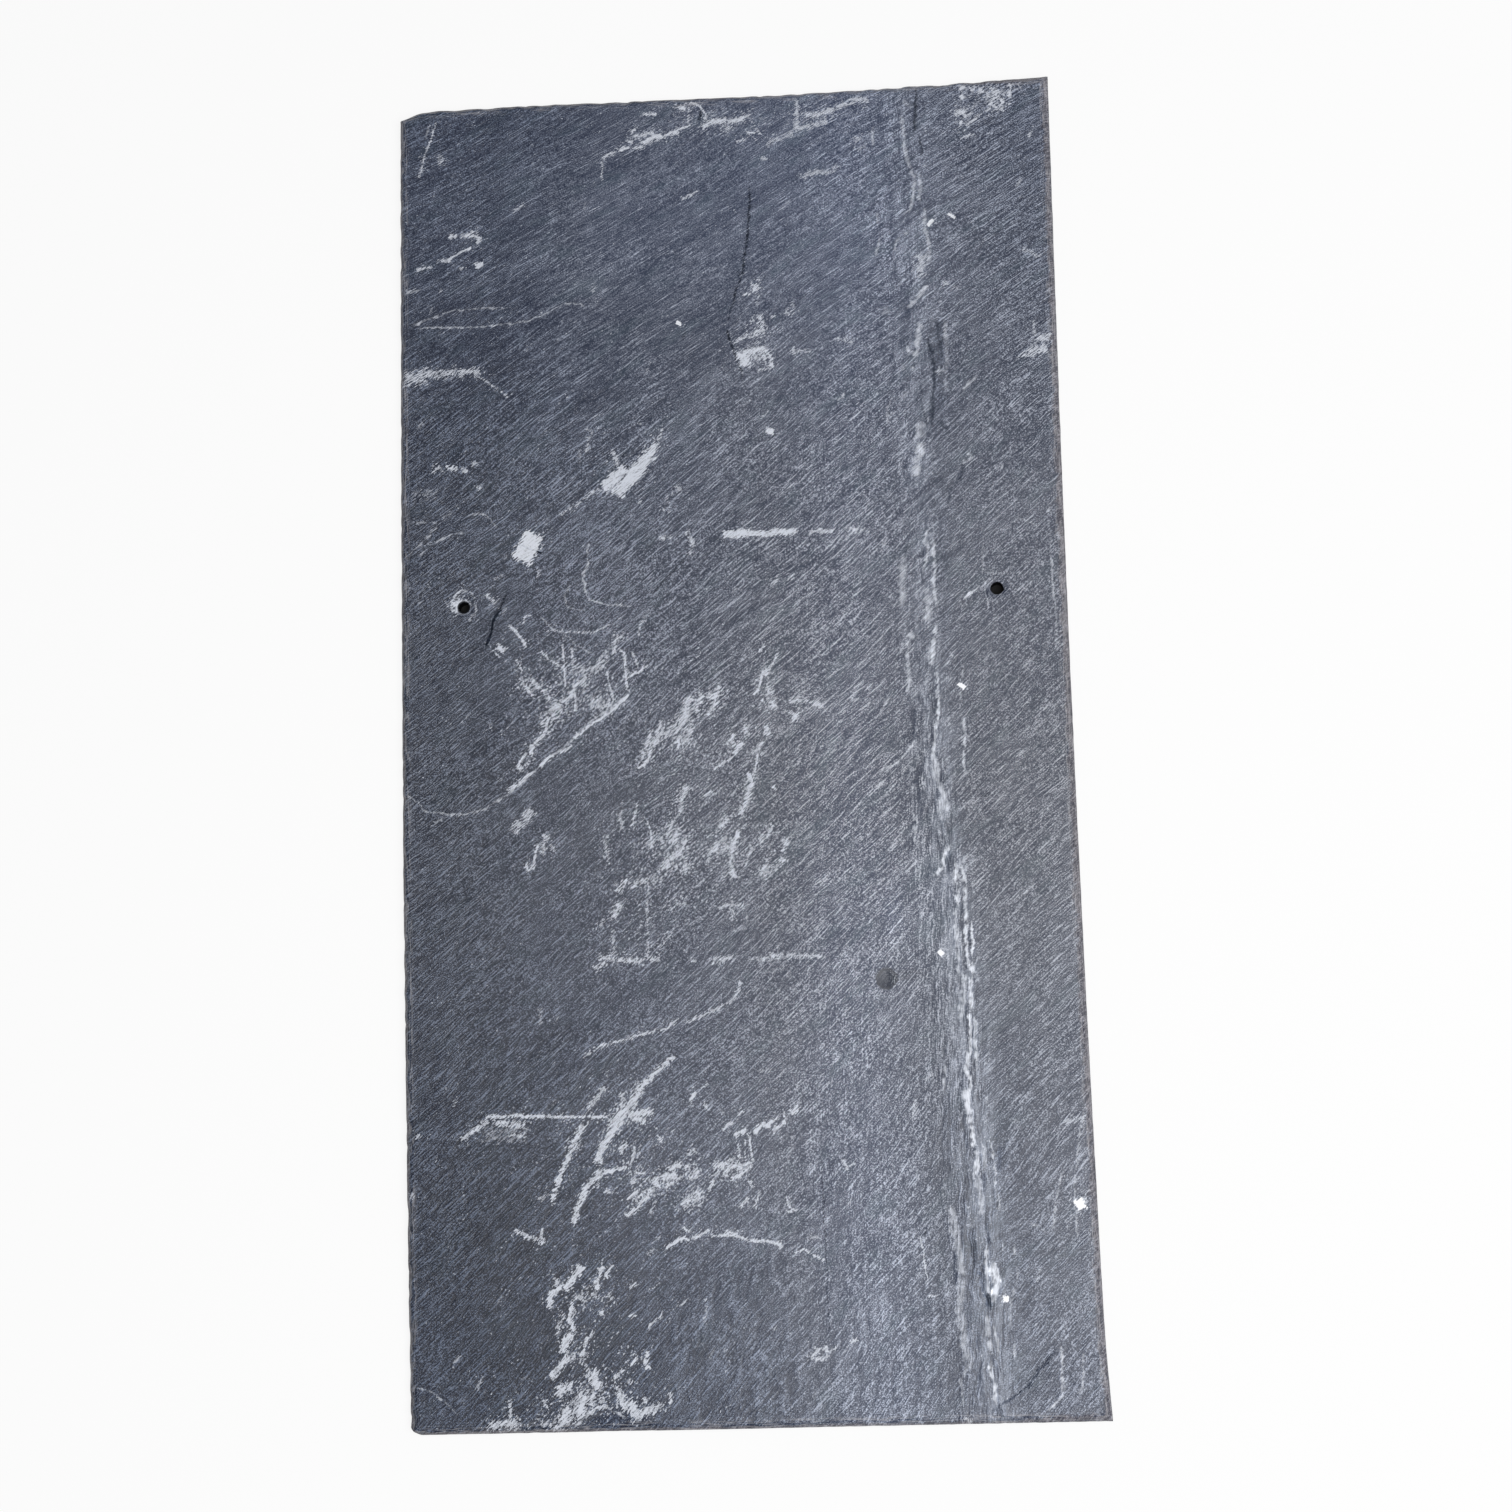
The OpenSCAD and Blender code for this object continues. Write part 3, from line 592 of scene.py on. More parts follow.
# Lines where a thin sheet broke off, each a small step in the face, whose edge the finish paints with
# highlight and shade
BROKEN_SHEETS = [
    (0.5, 0.5, [(412, 326), (450, 312), (484, 308), (508, 308)]),
    (0.5, 0.55, [(419, 328), (479, 327), (524, 322), (546, 314), (564, 304), (584, 305)]),
    (0.5, 0.5, [(410, 554), (437, 527)]),
    (0.5, 0.5, [(419, 556), (446, 536), (464, 532)]),
    (0.5, 0.5, [(468, 516), (484, 512), (497, 527)]),
    (0.7, 0.6, [(587, 545), (589, 565), (583, 574), (585, 590), (590, 599), (600, 604), (631, 606)]),
    (0.5, 0.5, [(570, 585), (564, 596), (569, 608), (586, 610)]),
    (0.5, 0.5, [(540, 616), (555, 630), (569, 637), (575, 645), (593, 654)]),
    (0.4, 0.45, [(544, 654), (564, 668)]),
    (0.7, 0.7, [(627, 695), (611, 708), (591, 721), (562, 749), (546, 760), (528, 776), (508, 794)]),
    (0.6, 0.65, [(508, 794), (484, 809), (466, 814), (441, 814), (423, 810), (415, 800), (407, 795)]),
    (0.4, 0.4, [(687, 527), (695, 545), (689, 556)]),
    (0.5, 0.5, [(983, 545), (983, 572), (987, 600), (988, 611)]),
    (0.5, 0.5, [(983, 572), (1004, 573)]),
    (0.5, 0.5, [(1019, 517), (1038, 526)]),
    (0.7, 0.5, [(1050, 542), (1053, 590), (1057, 616), (1056, 650)]),
    (0.6, 0.5, [(1061, 1174), (1051, 1229)]),
    (0.6, 0.5, [(1081, 1122), (1074, 1179), (1077, 1239)]),
    (0.9, 0.65, [(1061, 1346), (1063, 1396), (1046, 1413)]),
    (0.6, 0.6, [(1083, 1354), (1083, 1391), (1079, 1392)]),
    (0.5, 0.5, [(1028, 1220), (1048, 1232)]),
    (0.5, 0.5, [(416, 1387), (435, 1394), (458, 1415)]),
    (0.7, 0.6, [(574, 1427), (591, 1413), (605, 1407), (626, 1417)]),
]
CRACKS = [
    (0.8, -0.8, [(750, 188), (749, 216), (746, 247), (742, 274), (739, 274)]),
    (0.6, -0.85, [(741, 276), (737, 285.5), (732.7, 304)]),
    (0.35, -0.6, [(732, 306), (727.5, 322)]),
    (0.65, -0.9, [(727, 330), (730, 339.5), (735.5, 357), (741, 370)]),
    (0.4, -0.6, [(741, 370), (742, 384)]),
    (0.4, -0.7, [(744, 348.5), (764, 346)]),
    (0.4, -0.5, [(916, 88), (915, 131)]),
    (0.4, -0.5, [(920, 138), (922, 156)]),
    (0.5, -0.8, [(507, 591), (499.5, 610.4)]),
    (0.95, -1.0, [(499.5, 610.4), (492.6, 621.2), (491.4, 633.4), (485.8, 644.9)]),
    (0.5, -0.6, [(485.8, 644.9), (475, 654.9)]),
    (0.5, -1.0, [(520, 545), (541, 553)]),
    (0.4, -0.9, [(618, 481), (628, 467)]),
    (0.5, -0.8, [(689, 556), (669, 576), (653, 592)]),
    (0.4, -0.8, [(822, 1172), (824, 1215), (826, 1262), (829, 1330)]),
    (3.0, -0.45, [(984, 791), (985, 793)]),
    (2.4, -0.4, [(831, 1165), (833, 1165)]),
    (2.2, -0.6, [(923, 1231), (924, 1233)]),
    (3.6, -0.5, [(997, 1412), (998, 1415)]),
    (0.5, -0.5, [(997, 547), (1013, 557), (1020, 563)]),
    (1.0, -0.85, [(1056, 1351), (1041, 1368), (1028, 1388), (1012, 1398), (999, 1406)]),
]
# Ridges, cracks and lenses of the vein, each listed from head to tail
VEIN_HEAD = [
    (1.2, -0.84, [(915.9, 89), (914.4, 130)]),
    (1.0, -0.72, [(920.2, 140.5), (922.2, 156.3)]),
    (1.8, 0.49, [(904.8, 102), (905.5, 104)]),
    (1.4, 0.49, [(909.8, 105.5), (910.5, 107.5)]),
    (1.3, 0.39, [
        (901.5, 118), (904, 135), (905.7, 153), (909.8, 169.5), (914.8, 179.5), (913, 196), (909, 212.7),
    ]),
    (1.2, 0.39, [(918.9, 173), (920.6, 186), (918.9, 203)]),
    (1.2, 0.39, [(924.7, 209), (925.6, 234), (928.9, 242.5), (929.4, 262.4)]),
    (1.2, 0.54, [(928, 285.6), (914.8, 302), (907.3, 307)]),
    (0.8, 0.39, [(894.9, 251), (895.7, 242.5), (901.5, 235), (909.8, 231.7)]),
    (3.0, 0.3, [(884, 309), (885, 312)]),
    (0.9, 0.39, [(872.5, 126), (873.3, 146)]),
    (0.9, 0.34, [(877.5, 213), (877.5, 226)]),
    (0.9, 0.34, [(880, 237.5), (875.8, 256)]),
    (2.2, 0.5, [(919.8, 325), (915.8, 346), (914.8, 355)]),
    (1.2, 0.5, [(909, 347), (909, 353)]),
    (1.0, 0.58, [(912.3, 366), (912.3, 370)]),
    (1.0, 0.58, [(903.2, 365), (903.2, 369)]),
    (2.1, -0.96, [(926.4, 338), (930, 347), (933, 354.7)]),
    (1.0, -0.72, [(937.2, 320), (938, 333), (942.1, 350), (942.1, 360)]),
    (1.3, -0.96, [(933, 356), (934, 373), (933.8, 393), (932.2, 406), (931.4, 426)]),
    (0.8, -0.6, [(921.1, 384.6), (921.4, 399.5), (923.9, 416), (927.2, 427.7)]),
    (1.0, 0.58, [(939.3, 367), (939.3, 374)]),
    (0.9, 0.58, [(935.5, 371), (946, 370)]),
    (1.2, 0.5, [(927.5, 416), (927.5, 421)]),
    (1.3, 0.14, [(945.5, 321.6), (947.1, 354.7), (945.5, 389.5)]),
    (4.0, 0.34, [(919.5, 425), (919.5, 436)]),
    (2.8, 0.57, [(921.5, 444), (918, 458), (916, 474)]),
    (0.8, 0.34, [(891.6, 398), (886.6, 408), (888.2, 422.7)]),
    (0.8, 0.34, [(909.8, 389.5), (900.7, 398)]),
    (1.2, -0.84, [(938.8, 420), (943, 423.5), (948.8, 432.7)]),
    (1.3, -0.84, [(964.5, 462.5), (959.6, 475.8), (957.9, 481), (951.3, 489), (948.8, 504)]),
    (1.1, 0.5, [(976, 376), (963, 389.5)]),
    (1.2, 0.58, [(969.5, 453), (970, 456)]),
    (1.3, 0.58, [(927.2, 530.5), (924.7, 545.4)]),
]
VEIN_MIDDLE = [
    (1.1, 0.45, [(928, 540), (925.6, 561.6), (921.5, 571.5)]),
    (1.2, 0.5, [(933, 540), (933.9, 565), (933.9, 590), (937.2, 606)]),
    (2.6, 0.4, [(928, 591), (928, 620)]),
    (1.2, 0.8, [(936.4, 626), (934.7, 634.5)]),
    (2.0, 0.7, [(933, 639.5), (931.4, 662.7)]),
    (1.3, 0.65, [(937.2, 672.7), (938, 699), (938.9, 706), (935.6, 731), (933, 749), (934.7, 772)]),
    (2.6, 0.35, [(903.2, 556.6), (901.6, 606)]),
    (3.0, 0.45, [(911.5, 634), (911.5, 638)]),
    (1.1, 0.4, [(909, 639.5), (907.4, 653), (909.9, 677.6), (907.4, 694)]),
    (0.9, 0.4, [(893, 691), (880, 712)]),
    (1.0, 0.45, [(915.7, 739), (910, 750.6), (896.6, 764), (880, 772)]),
    (0.8, 0.3, [(963, 663), (958.8, 714)]),
    (0.9, 0.6, [(965.4, 716), (965.4, 736), (963.7, 755.6), (964.9, 772)]),
    (1.1, 0.7, [(960.4, 684), (963.7, 687.6)]),
    (1.0, 0.7, [(979.5, 585.6), (961.3, 600.5)]),
    (2.0, 0.5, [(935.6, 760), (937.3, 781.6), (944.7, 795), (946.4, 808)]),
    (3.4, 0.5, [(943, 800), (943, 816)]),
    (1.2, 0.45, [(914.9, 815), (914.9, 843)]),
    (1.3, 0.8, [(949.7, 846), (943.9, 854.5), (942.2, 866), (935.6, 876)]),
    (2.4, -0.7, [(949, 853), (949, 870)]),
    (1.5, 0.9, [(955.5, 863), (957.2, 878)]),
    (1.3, 0.7, [
        (961.3, 866), (963.8, 876), (965.5, 898), (966.3, 919), (964.6, 934), (966.3, 951), (968, 964),
    ]),
    (2.6, -0.5, [(951, 887), (951, 903)]),
    (1.0, 0.8, [(958, 889), (957.7, 906)]),
    (0.9, -0.6, [(960.5, 904), (961.3, 914)]),
    (1.1, 0.55, [(955.5, 908), (954.7, 921), (957.2, 932.5), (956.3, 942), (958.8, 959), (958.8, 974)]),
    (0.9, 1.0, [(971.3, 922.5), (971.3, 931), (972.9, 942), (972, 956)]),
    (0.9, -0.7, [(968.8, 926), (968.8, 950)]),
    (2.2, 1.0, [(972, 965), (972, 971)]),
    (1.2, 0.7, [(971.3, 976), (970.4, 992), (971.3, 1009)]),
    (2.0, 0.5, [(965.5, 976), (963, 1000.5), (960.5, 1018.7)]),
]
VEIN_TAIL = [
    (1.3, 0.9, [(968.8, 1015), (969.7, 1033), (970, 1050), (966.3, 1070), (969.7, 1080), (968.8, 1093)]),
    (0.9, 0.6, [(975.5, 1018), (976.3, 1046), (977, 1070)]),
    (2.4, 0.85, [(966, 1090), (968, 1106), (970, 1120)]),
    (1.5, 0.9, [(971.3, 1126), (974, 1146)]),
    (1.6, 1.0, [(977, 1151), (978, 1161), (975.5, 1174)]),
    (1.4, 0.3, [(984.6, 1146), (984.6, 1169)]),
    (1.8, -0.6, [(983.5, 1173), (983.5, 1190)]),
    (0.7, 0.6, [(990.4, 1139), (992.9, 1156), (996.2, 1174), (995.4, 1189)]),
    (1.1, -0.6, [(999.5, 1146), (999.5, 1172)]),
    (1.0, 0.6, [(997.8, 1194), (999.5, 1210.6)]),
    (1.8, 0.45, [(978, 1177.5), (981.3, 1196), (981.3, 1214)]),
    (0.7, -0.6, [(985.4, 1217), (987.9, 1240.5), (989.6, 1259), (989.7, 1279), (991.7, 1295)]),
    (3.0, 0.34, [(950.6, 1209), (953, 1224), (957.2, 1240.5), (958.9, 1253.5), (961.6, 1273.6)]),
    (3.2, 0.34, [(961.6, 1280), (958.9, 1306), (961.6, 1324.6), (962.9, 1338), (965.6, 1351), (970.3, 1365)]),
    (1.2, 0.3, [(968, 1366), (960, 1381), (964, 1405)]),
    (1.2, 0.5, [(944.8, 1066), (945.6, 1078), (943.4, 1090)]),
    (0.7, -0.5, [(953, 1116), (953, 1149)]),
    (1.0, -0.5, [(963.8, 1133), (968, 1149)]),
    (1.1, 0.8, [(986.4, 1247), (985.7, 1264), (988.4, 1280), (989.7, 1295)]),
    (2.6, 1.0, [(992.4, 1264), (993.7, 1273.6), (997, 1279), (996.4, 1289.7), (993, 1299)]),
    (1.3, -0.9, [(979, 1271), (981.7, 1284), (987, 1300), (989, 1307)]),
    (1.6, 0.45, [(987, 1316.5), (988.4, 1334), (991, 1349)]),
    (1.0, 0.5, [(995, 1327), (999, 1354)]),
    (1.0, -0.5, [(991, 1358), (995.7, 1363), (997, 1374)]),
    (1.2, 0.8, [(989.7, 1362), (991, 1374), (995, 1385), (996.4, 1405)]),
    (0.9, -0.5, [(977.6, 1331), (977.6, 1349)]),
    (0.9, -0.5, [(979, 1374), (979, 1398)]),
    (1.0, 0.25, [(1016.5, 1265.6), (1017.9, 1276), (1013.8, 1290), (1009.8, 1311), (1011, 1327)]),
    (1.0, 0.5, [(1014.5, 1343), (1014.5, 1358)]),
    (1.0, 0.5, [(1013.8, 1245.5), (1015.2, 1255)]),
    (0.9, 0.5, [(1002.4, 1244), (1001.8, 1251)]),
    (0.8, 0.5, [(1029.4, 1222), (1037.6, 1227)]),
]
# Raised strips and hollows in the vein: half width and half length in mm, height in mm, and the middle
VEIN_LENSES = [
    (1.6, 5.0, 0.25, (951, 894)),
    (2.6, 11.0, -0.35, (934, 341)),
    (2.2, 9.0, 0.30, (921, 268)),
    (3.0, 14.0, 0.28, (941, 640)),
    (2.8, 12.0, 0.30, (944, 800)),
    (3.4, 17.0, 0.35, (968, 1090)),
    (3.0, 12.0, 0.30, (984, 1190)),
    (2.6, 14.0, 0.40, (993, 1285)),
    (2.4, 12.0, -0.30, (972, 1250)),
    (3.0, 14.0, 0.30, (961, 1270)),
    (2.6, 14.0, 0.25, (985, 1375)),
]
# Round pits: radius in mm, depth in mm and the pixel at the middle
PITS = [
    (3.6, 0.9, (886.6, 978.7)),
    (2.0, 0.6, (984.8, 792)),
    (1.4, 0.4, (832, 1165)),
    (1.8, 0.6, (922.8, 1231.7)),
    (1.3, 0.4, (945, 990)),
    (1.6, 0.4, (973, 1146)),
    (2.4, 0.9, (997, 1413)),
]


# Random shapes that come out the same each time

def hills(x, y, seed):
    """Smooth hills and hollows between -1 and 1, about one to each unit of x and of y."""
    column, row = np.floor(x), np.floor(y)
    across, up = x - column, y - row
    across = across * across * (3 - 2 * across)
    up = up * up * (3 - 2 * up)

    def corner(i, j):
        mixed = np.sin((column + i) * 127.1 + (row + j) * 311.7 + seed * 74.7) * 43758.5453
        return 2 * (mixed - np.floor(mixed)) - 1

    low = corner(0, 0) + (corner(1, 0) - corner(0, 0)) * across
    high = corner(0, 1) + (corner(1, 1) - corner(0, 1)) * across
    return low + (high - low) * up


def wandered(x, y, waves, seed):
    """Places moved a little by smooth hills. Each wave is a length and a height in mm."""
    x_out, y_out = x, y
    for length, height in waves:
        x_out = x_out + height * hills(x / length, y / length, seed)
        y_out = y_out + height * hills(x / length, y / length, seed + 1)
        seed += 2
    return x_out, y_out


def eased(t):
    """0 up to 0, 1 from 1 on and a smooth rise between."""
    t = np.clip(t, 0, 1)
    return t * t * (3 - 2 * t)


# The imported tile, measured by rays

tile_mesh = CAD_TILE.data
PACKED = BVHTree.FromPolygons(
    [v.co.copy() for v in tile_mesh.vertices], [tuple(p.vertices) for p in tile_mesh.polygons]
)
FAR = 0.5
BED_LOOK = 0.3 * MM
EDGE_LOOKS = 501


def edge_places(side, reach):
    """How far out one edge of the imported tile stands, at even places along it, just above the bed."""
    along = np.linspace(-reach[0], reach[1], EDGE_LOOKS)
    out = []
    for a in along:
        if side in ("left", "right"):
            sign = -1 if side == "left" else 1
            hit = PACKED.ray_cast(Vector((sign * FAR, a, BED_LOOK)), Vector((-sign, 0, 0)))[0]
            out.append(hit.x)
        else:
            sign = 1 if side == "head" else -1
            hit = PACKED.ray_cast(Vector((a, sign * FAR, BED_LOOK)), Vector((0, -sign, 0)))[0]
            out.append(hit.y)
    return along, np.array(out)


NEAR_CORNER = 0.4 * MM
CLIPPED_CORNER = 6.0 * MM
WORN_CORNER = 4.5 * MM
LEFT_EDGE = edge_places("left", (LENGTH / 2 - WORN_CORNER, LENGTH / 2 - CLIPPED_CORNER))
RIGHT_EDGE = edge_places("right", (LENGTH / 2 - NEAR_CORNER, LENGTH / 2 - NEAR_CORNER))
HEAD_EDGE = edge_places("head", (WIDTH / 2 - NEAR_CORNER, WIDTH / 2 - NEAR_CORNER))
TAIL_EDGE = edge_places("tail", (WIDTH / 2 - NEAR_CORNER, WIDTH / 2 - NEAR_CORNER))


def placed(x, y):
    """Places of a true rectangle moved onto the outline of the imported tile."""
    s = x / WIDTH + 0.5
    t = y / LENGTH + 0.5
    for _ in range(3):
        left = np.interp(y, *LEFT_EDGE)
        right = np.interp(y, *RIGHT_EDGE)
        x = left + (right - left) * s
        tail = np.interp(x, *TAIL_EDGE)
        head = np.interp(x, *HEAD_EDGE)
        y = tail + (head - tail) * t
    return x, y


def edge_distance(x, y):
    """How far inside the outline each place is."""
    across = np.minimum(x - np.interp(y, *LEFT_EDGE), np.interp(y, *RIGHT_EDGE) - x)
    along = np.minimum(y - np.interp(x, *TAIL_EDGE), np.interp(x, *HEAD_EDGE) - y)
    return np.minimum(across, along)


def packed_height(x, y):
    """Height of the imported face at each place. Over a nail hole it is the crater's floor."""
    heights = np.full(len(x), CRATER_FLOOR)
    down = Vector((0, 0, -1))
    for i in range(len(x)):
        hit = PACKED.ray_cast(Vector((x[i], y[i], FAR)), down)[0]
        if hit is not None and hit.z > 0.5 * MM:
            heights[i] = hit.z
    return heights


HEIGHT_GRID = 2.0 * MM
SMOOTH_PASSES = 6


def smooth_height_map():
    """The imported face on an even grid, with its flat facets smoothed into one surface."""
    xs = np.arange(-WIDTH / 2 + 4 * MM, WIDTH / 2 - 3.9 * MM, HEIGHT_GRID)
    ys = np.arange(-LENGTH / 2 + 4 * MM, LENGTH / 2 - 3.9 * MM, HEIGHT_GRID)
    gx, gy = np.meshgrid(xs, ys)
    heights = packed_height(gx.ravel(), gy.ravel()).reshape(gx.shape)
    for hole in HOLES:
        near = np.hypot(gx - hole.x, gy - hole.y)
        ring = heights[(near > CRATER_RADIUS + 1 * MM) & (near < CRATER_RADIUS + 5 * MM)].mean()
        heights[near < CRATER_RADIUS + 1 * MM] = ring
    for _ in range(SMOOTH_PASSES):
        wide = np.pad(heights, 1, mode="edge")
        heights = (
            4 * wide[1:-1, 1:-1]
            + 2 * (wide[:-2, 1:-1] + wide[2:, 1:-1] + wide[1:-1, :-2] + wide[1:-1, 2:])
            + wide[:-2, :-2] + wide[:-2, 2:] + wide[2:, :-2] + wide[2:, 2:]
        ) / 16
    return xs, ys, heights


def read_map(height_map, x, y):
    xs, ys, heights = height_map
    column = np.clip((x - xs[0]) / HEIGHT_GRID, 0, len(xs) - 1.001)
    row = np.clip((y - ys[0]) / HEIGHT_GRID, 0, len(ys) - 1.001)
    i, j = column.astype(int), row.astype(int)
    s, t = column - i, row - j
    low = heights[j, i] * (1 - s) + heights[j, i + 1] * s
    high = heights[j + 1, i] * (1 - s) + heights[j + 1, i + 1] * s
    return low * (1 - t) + high * t


# Where each mark lies, for the relief and for the finish

REACH_BEYOND = 2.2
RIDGE_BEYOND = 0.9


def stroke_reach(stroke):
    return stroke["width"] / 2 + stroke["beyond"]


def strokes_of(marks, beyond=REACH_BEYOND):
    """Marks with their pixels turned into places on the face, in millimetres."""
    strokes = []
    for width, strength, pixels in marks:
        points = np.array([on_face(*pixel) for pixel in pixels])
        strokes.append({
            "width": width, "strength": strength, "points": points, "beyond": min(beyond, 1.4 + 0.5 * width)
        })
    return strokes


def measure_stroke(stroke, x, y):
    """For places in mm: signed distance to the side, distance along from the middle, and half the length."""
    points = stroke["points"]
    steps = np.diff(points, axis=0)
    lengths = np.hypot(steps[:, 0], steps[:, 1])
    total = lengths.sum()
    best = np.full(len(x), np.inf)
    side = np.zeros(len(x))
    along = np.zeros(len(x))
    walked = 0.0
    for k, (start, step, length) in enumerate(zip(points, steps, lengths)):
        dx, dy = (x - start[0]), (y - start[1])
        forward = (dx * step[0] + dy * step[1]) / length
        lateral = (dy * step[0] - dx * step[1]) / length
        low = -np.inf if k == 0 else 0.0
        high = np.inf if k == len(lengths) - 1 else length
        kept = np.clip(forward, low, high)
        apart = np.hypot(forward - kept, lateral)
        over = np.maximum(0, np.maximum(-forward, forward - length))
        rank = np.hypot(lateral, over)
        closer = rank < best
        best = np.where(closer, rank, best)
        side = np.where(closer, np.where(lateral < 0, -apart, apart), side)
        along = np.where(closer, walked + kept - total / 2, along)
        walked += length
    return best, side, along, total / 2


def near_stroke(stroke, x, y, reach):
    low = stroke["points"].min(axis=0) - reach
    high = stroke["points"].max(axis=0) + reach
    return np.flatnonzero((x > low[0]) & (x < high[0]) & (y > low[1]) & (y < high[1]))


SCUFFS = strokes_of(HEAD_SCUFFS + UPPER_SCUFFS + MIDDLE_SCUFFS + LOWER_SCUFFS)
SHEETS = strokes_of(BROKEN_SHEETS)
CRACK_LINES = strokes_of(CRACKS)
RIDGES = strokes_of(VEIN_HEAD + VEIN_MIDDLE + VEIN_TAIL, RIDGE_BEYOND)
PIT_PLACES = [(radius, depth, on_face(*pixel)) for radius, depth, pixel in PITS]

# The light comes from the right and the tail, so a step that faces it shows bright
UPHILL = np.array((-0.7, 0.7))


def faces_light(stroke):
    """The stroke turned round, if need be, so that its left side is the one away from the light."""
    ends = stroke["points"][-1] - stroke["points"][0]
    if np.dot((-ends[1], ends[0]), UPHILL) < 0:
        return dict(stroke, points=stroke["points"][::-1])
    return stroke


# Grain of the split, in millimetres

VEIN_HEAD_X = 73.2
VEIN_BEND_Y = 20.0
VEIN_LEAN = 13.0
# The grain climbs from left to right. Its slope is the rise for each x over the run for each y.
GRAIN_RISE = ((-125, 0.77), (-40, 0.82), (30, 0.88), (60, 0.98), (85, 0.92), (125, 0.86))
GRAIN_RUN = ((-250, 0.80), (-120, 0.93), (0, 1.0), (110, 1.05), (200, 1.45), (250, 1.6))
GRAIN_STRETCH = 1.36
# Waves that the grain follows: length and height in mm
GRAIN_WAVES = ((34, 1.6), (11, 0.25))


def vein_x(y):
    return VEIN_HEAD_X + VEIN_LEAN * np.clip((VEIN_BEND_Y - y) / 215, 0, 1.1)


def walked(slopes, at, power):
    """The sum of a slope, or of its inverse, from the middle of the tile to each place."""
    places, values = zip(*slopes)
    line = np.arange(-260.0, 261.0)
    height = np.interp(line, places, values) ** power
    total = np.concatenate([[0], np.cumsum((height[1:] + height[:-1]) / 2)])
    return np.interp(at, line, total - np.interp(0, line, total))


def grain_coordinates(x, y):
    """Distance along the grain and across it, and how far the grain is pulled upright by the vein."""
    x_bent, y_bent = wandered(x, y, GRAIN_WAVES, 11)
    along = (walked(GRAIN_RISE, x_bent, -1) + walked(GRAIN_RUN, y_bent, -1)) / GRAIN_STRETCH
    across = (walked(GRAIN_RUN, y_bent, 1) - walked(GRAIN_RISE, x_bent, 1)) / GRAIN_STRETCH
    off = x - vein_x(y)
    upright = np.exp(-((off + 4) / np.where(off < -4, 11, 9)) ** 2) * (0.30 + 0.70 * eased((60 - y) / 110))
    lower = eased((-60 - y) / 60) * np.exp(-((x - 38) / 34) ** 2)
    return along, across, np.clip(upright + 0.35 * lower, 0, 1)


# Relief of the face, in millimetres

# Sheets that splitting leaves, slanted over most of the face and upright along the vein.
# Hills and ripples have a length each way in mm and a height. A step's edge is a share of its hill.
SLANTED_HILLS = ((42, 17, 2.6), (17, 6, 1.1))
SLANTED_RIPPLES = ((13, 3.6, 0.030),)
SLANTED_STEP = 0.045
SLANTED_EDGE = 0.16
UPRIGHT_HILLS = ((9, 48, 2.2), (4.5, 20, 1.0))
UPRIGHT_RIPPLES = ((3.2, 14, 0.035),)
UPRIGHT_STEP = 0.060
UPRIGHT_EDGE = 0.2

RIDGE_RISE = 0.34
RIDGE_SPREAD = 0.75
RIDGE_REACH = 6
LENS_LEAN = 0.8
SHEET_RISE = 0.09
SHEET_FADE = 7
SHEET_SLOPE = 1.6
SHEET_REACH = 8
PIT_LIP = 0.12

# Flakes along the edge: how long they are, how much that varies, how far in they reach and how deep they go
FLAKE_LENGTH = 5.6
FLAKE_VARIES = 2.0
FLAKE_REACH = 0.7
FLAKE_BOWL = 2.2
FLAKE_DEPTH = 0.35
FLAKE_RIPPLE = 0.06
WORN_DEPTH = 0.10
WORN_REACH = 1.2


def sum_of_hills(a, b, sizes, seed):
    total = np.zeros(len(a))
    for number, (length_a, length_b, height) in enumerate(sizes):
        total += height * hills(a / length_a, b / length_b, seed + number)
    return total


def stepped(height, edge):
    """Steps of height 1, each with a rise that takes up this share of the slope it stands on."""
    level = np.floor(height)
    return level + eased((height - level) / edge)


def riven_relief(x, y):
    """Small steps and ripples that splitting leaves, drawn out along the grain."""
    along, across, upright = grain_coordinates(x, y)
    slanted = SLANTED_STEP * stepped(sum_of_hills(along, across, SLANTED_HILLS, 21), SLANTED_EDGE)
    slanted += sum_of_hills(along, across, SLANTED_RIPPLES, 23)
    standing = UPRIGHT_STEP * stepped(sum_of_hills(x, y, UPRIGHT_HILLS, 24), UPRIGHT_EDGE)
    standing += sum_of_hills(x, y, UPRIGHT_RIPPLES, 26)
    return slanted * (1 - upright) + standing * upright


